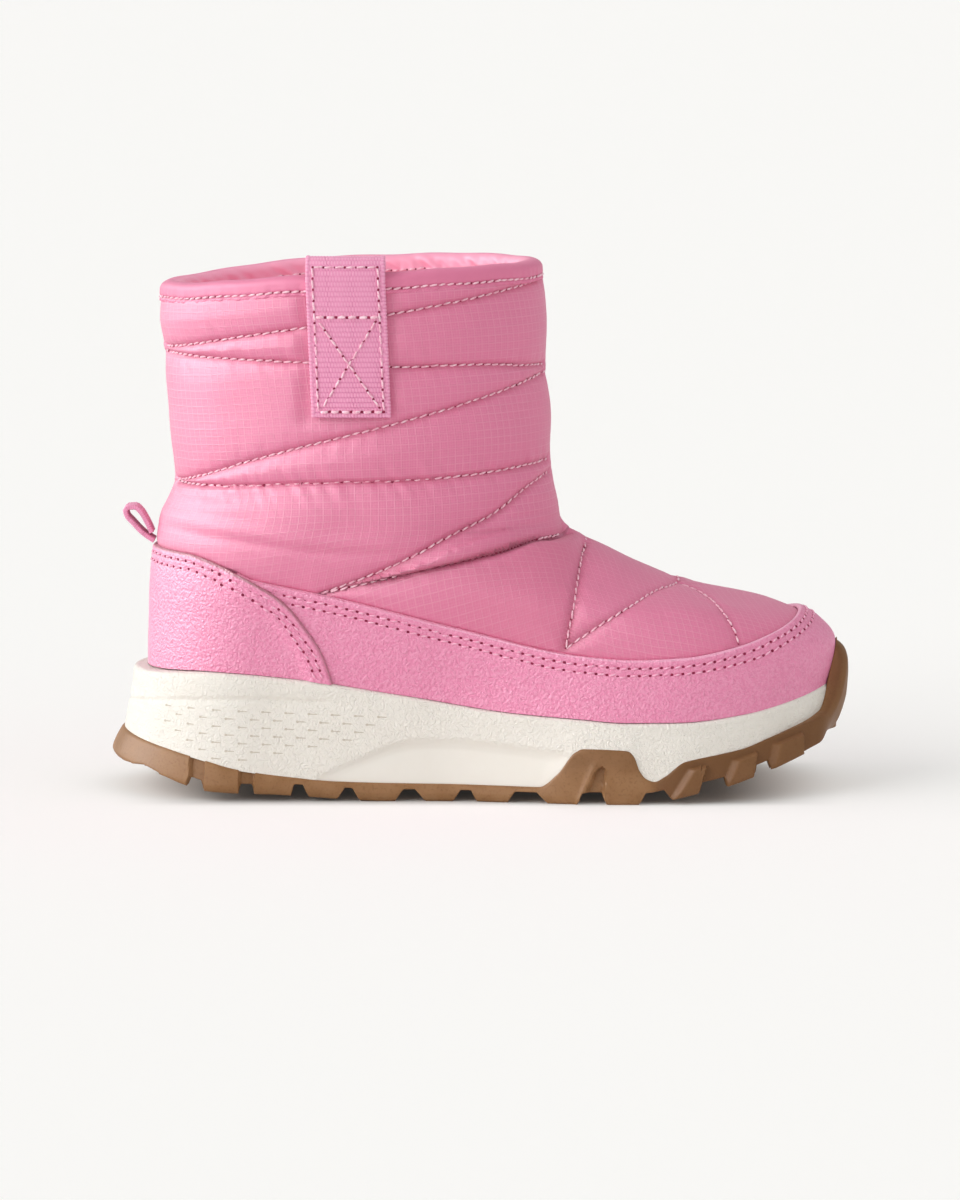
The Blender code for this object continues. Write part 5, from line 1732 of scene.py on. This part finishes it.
def block_mask(x, z, bottom, top):
    """One on the tread blocks of the side wall, nought in the gaps and above the front blocks."""
    mask = np.ones_like(x)
    for low_from, low_to, top_from, top_to, height in HEEL_GAPS:
        gap_back = low_from + (top_from - low_from) * z / height
        gap_front = low_to + (top_to - low_to) * z / height
        inside = np.minimum(x - gap_back, gap_front - x) / BLOCK_EDGE
        mask = np.minimum(mask, 1.0 - np.clip(inside + 0.5, 0.0, 1.0))
    share = np.clip((z - bottom) / (top - bottom), 0.0, 1.2)
    blocks = np.zeros_like(x)
    for low_back, low_front, top_back, top_front in FRONT_BLOCKS:
        back = low_back + (top_back - low_back) * share
        front = low_front + (top_front - low_front) * share
        block = np.minimum((x - back) / BLOCK_CHAMFER, (front - x) / BLOCK_EDGE)
        blocks = np.maximum(blocks, np.clip(np.minimum(block, (top - z) / BLOCK_EDGE), 0.0, 1.0))
    front = soft_step(x, *BLOCKS_FROM_X)
    return mask * (1.0 - front) + blocks * front


def slot_relief(x, z):
    """Leaning slot in the side tab, with a rounded ridge along its back edge."""
    share = np.clip((z - SLOT_LOW[2]) / (SLOT_TOP[2] - SLOT_LOW[2]), -0.3, 1.3)
    back = SLOT_LOW[0] + (SLOT_TOP[0] - SLOT_LOW[0]) * share
    front = SLOT_LOW[1] + (SLOT_TOP[1] - SLOT_LOW[1]) * share
    half = (front - back) / 2.0
    across = np.abs(x - (back + front) / 2.0) / half
    over = np.clip((z - SLOT_TOP[2] + SLOT_ROUND) / SLOT_ROUND, 0.0, 2.0)
    inside = 1.0 - soft_step(np.hypot(across, over), *SLOT_EDGE)
    ridge = bell(x - back + 1.0, 1.0) * (1.0 - soft_step(z, *SLOT_RIDGE_TOP))
    return SLOT_RIDGE * ridge - SLOT_DEPTH * inside


def sole_wall(sole, z):
    """Smooth outline of the rubber wall at given heights, before blocks and gaps are cut in it."""
    flare = sole.flare
    bulge = np.minimum(sole.bottom + LUG_BULGE_HEIGHT, sole.border - 0.5)
    climb = np.clip((z - bulge) / (sole.border - bulge), 0.0, 1.0)
    fall = np.clip((bulge - z) / LUG_BULGE_HEIGHT, 0.0, 1.0)
    wall = flare["wall"] + (flare["wall_top"] - flare["wall"]) * climb ** 1.3
    wall = wall - (flare["wall"] - flare["foot"]) * fall ** 2
    toe = soft_step(sole.x, TOE_FROM_X, TOE_FULL_X)
    return wall + (line_height(TOE_PROFILE, z) - wall) * toe


def make_outsole(sole, gum):
    """Gum tray with side tabs, toe bumper, side blocks, a grooved tread and painted shade on its wall."""
    flare = sole.flare
    front = soft_step(sole.x, *BLOCKS_FROM_X)
    toe = soft_step(sole.x, TOE_FROM_X, TOE_FULL_X)
    block_top = line_height(LUG_TOP, sole.x)
    most = LIP_MOST + LIP_AT_TOE * soft_step(sole.border, *LIP_TOE_HEIGHTS) + LIP_BEHIND * (sole.x < 0.0)
    lip = np.minimum(flare["lip"], most)
    foot_x = sole.x + sole.normals[:, 0] * sole_wall(sole, sole.bottom)
    cut = groove_depth(foot_x) * (1.0 - soft_step(foot_x, *GROOVE_ENDS_X))
    low = line_height(SOLE_BOTTOM, foot_x) + cut
    tooth = np.mod(sole.along, TOOTH_PITCH) / TOOTH_PITCH
    low = low + TOOTH_HEIGHT * tooth * (1.0 - soft_step(foot_x, *TOOTH_ENDS_X))
    low = np.minimum(low, sole.border - SHORTEST_RIM)
    rings = [
        sole.ring(flare["core"] + FIT_GAP, sole.floor),
        sole.ring(lip, sole.border - 0.25),
        sole.ring(lip + 0.2, sole.border),
    ]
    marks = [np.zeros(sole.count)] * 3
    gap_depth = HEEL_GAP_DEPTH * (1.0 - front) + FRONT_GAP_DEPTH * front
    proud = BLOCK_PROUD * front * (1.0 - 0.6 * toe)
    round_top = TOP_ROUND + TOP_ROUND_TOE * toe
    lower_shares = np.linspace(0.085, 1.0, OUTSOLE_WALL_ROWS - len(TOP_SHARES))
    for share in np.concatenate((TOP_SHARES, lower_shares)):
        z = sole.border - share * (sole.border - low)
        wall = sole_wall(sole, z)
        x = sole.x + sole.normals[:, 0] * wall
        mask = block_mask(x, z, sole.bottom, block_top)
        out = wall + proud * mask - gap_depth * (1.0 - mask) + slot_relief(x, z)
        out = out - 0.6 * round_top * (1.0 - round_over(sole.border - z, round_top))
        out = out - FOOT_IN * (1.0 - round_over(z - low, FOOT_ROUND)) * (share > 0.5)
        rings.append(sole.ring(np.maximum(out, lip + LIP_LEAST), z))
        # Painted shade: in the gaps and recesses, most at the front, on the front blocks and high on the
        # side tab
        painted_shade = (1.0 - mask) * (0.25 + 0.75 * front) + BLOCK_PAINTED_SHADE * mask * soft_step(x, *BLOCK_PAINTED_SHADE_X)
        painted_shade = painted_shade + SIDE_TAB_PAINTED_SHADE * between(x, *SIDE_TAB_X) * soft_step(z, *SIDE_TAB_Z)
        marks.append(painted_shade * (1.0 - 0.3 * toe))
    rings = np.array(rings)
    piece = Piece("gum_outsole")
    index = piece.grid(rings, wrap_columns=True, marks=np.array(marks))
    close_ring(piece, index[0], rings[0])

    def tread_height(x, y):
        return line_height(SOLE_BOTTOM, x) + tread_depth(x, y)

    close_ring(piece, index[-1], rings[-1], TREAD_COLUMNS, tread_height)
    piece.build([gum], "outsole", "gum_rubber", sharp=32.0)


# Stage

def make_camera():
    data = bpy.data.cameras.new("camera")
    data.lens = CAMERA_LENS
    data.sensor_width = SENSOR
    camera = bpy.data.objects.new("camera", data)
    camera.location = CAMERA_PLACE
    camera.rotation_euler = (math.radians(90.0 - CAMERA_PITCH), 0.0, 0.0)
    bpy.context.scene.collection.objects.link(camera)
    bpy.context.scene.camera = camera


def make_lights():
    for name, towards, strength, spread, lights_all in SUNS:
        data = bpy.data.lights.new(name, "SUN")
        data.energy = strength
        data.angle = math.radians(spread)
        light = bpy.data.objects.new(name, data)
        x, y, z = towards
        light.rotation_euler = (math.atan2(math.hypot(x, y), z), 0.0, math.atan2(y, x) + math.pi / 2.0)
        light.visible_diffuse = lights_all
        bpy.context.scene.collection.objects.link(light)
    world = bpy.data.worlds.new("studio")
    world.use_nodes = True
    background = world.node_tree.nodes["Background"]
    background.inputs["Color"].default_value = (*WORLD_COLOUR, 1.0)
    background.inputs["Strength"].default_value = WORLD_STRENGTH
    bpy.context.scene.world = world
    bpy.context.scene.view_settings.view_transform = "Standard"


def make_floor():
    mesh = bpy.data.meshes.new("floor")
    reach = FLOOR_HALF
    mesh.from_pydata([(-reach, -reach, 0), (reach, -reach, 0), (reach, reach, 0), (-reach, reach, 0)], [],
                     [(0, 1, 2, 3)])
    mesh.materials.append(make_floor_paint())
    floor = bpy.data.objects.new("floor", mesh)
    bpy.context.scene.collection.objects.link(floor)
    floor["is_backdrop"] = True


def write_sizes():
    boxes = {"cad": CAD_BOX, "visual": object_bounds()}
    {name: [list(corner) for corner in box] for name, box in boxes.items()}


def main():
    make_camera()
    make_lights()
    make_floor()
    thread = make_thread("stitch_thread", THREAD_PINK, PINK_LIGHT)
    leather_thread = make_thread("leather_thread", LEATHER_THREAD, LEATHER_LIGHT)
    hole = make_hole()
    front_leather = make_leather("mudguard_leather", LEATHER_PINK, LEATHER_LIGHT, EDGE_LIGHT)
    heel_leather = make_leather("counter_leather", LEATHER_PINK, LEATHER_LIGHT, EDGE_BROWN)
    webbing = make_webbing("tab_webbing")
    quilt = Quilt()
    quilt.build(make_ripstop())
    quilt.sew(thread, hole)
    make_lining(make_fleece("pile_lining", LINING_PINK))
    make_binding(make_tape(), thread, hole)
    make_pull_tab(webbing, thread, hole)
    make_heel_loop(make_webbing("loop_ribbon"))
    make_mudguard(front_leather, make_cut_edge("light_cut_edge", EDGE_LIGHT), leather_thread, hole)
    make_counter(heel_leather, make_cut_edge("brown_cut_edge", EDGE_BROWN), leather_thread, hole)
    make_midsole(SoleOutline(MIDSOLE_STATIONS), make_foam(), make_dash_painted_shade())
    make_insole(SoleOutline(INSOLE_STATIONS), make_fleece("insole_fleece", LINING_PINK))
    make_outsole(SoleOutline(OUTSOLE_STATIONS), make_gum())


main()
write_sizes()
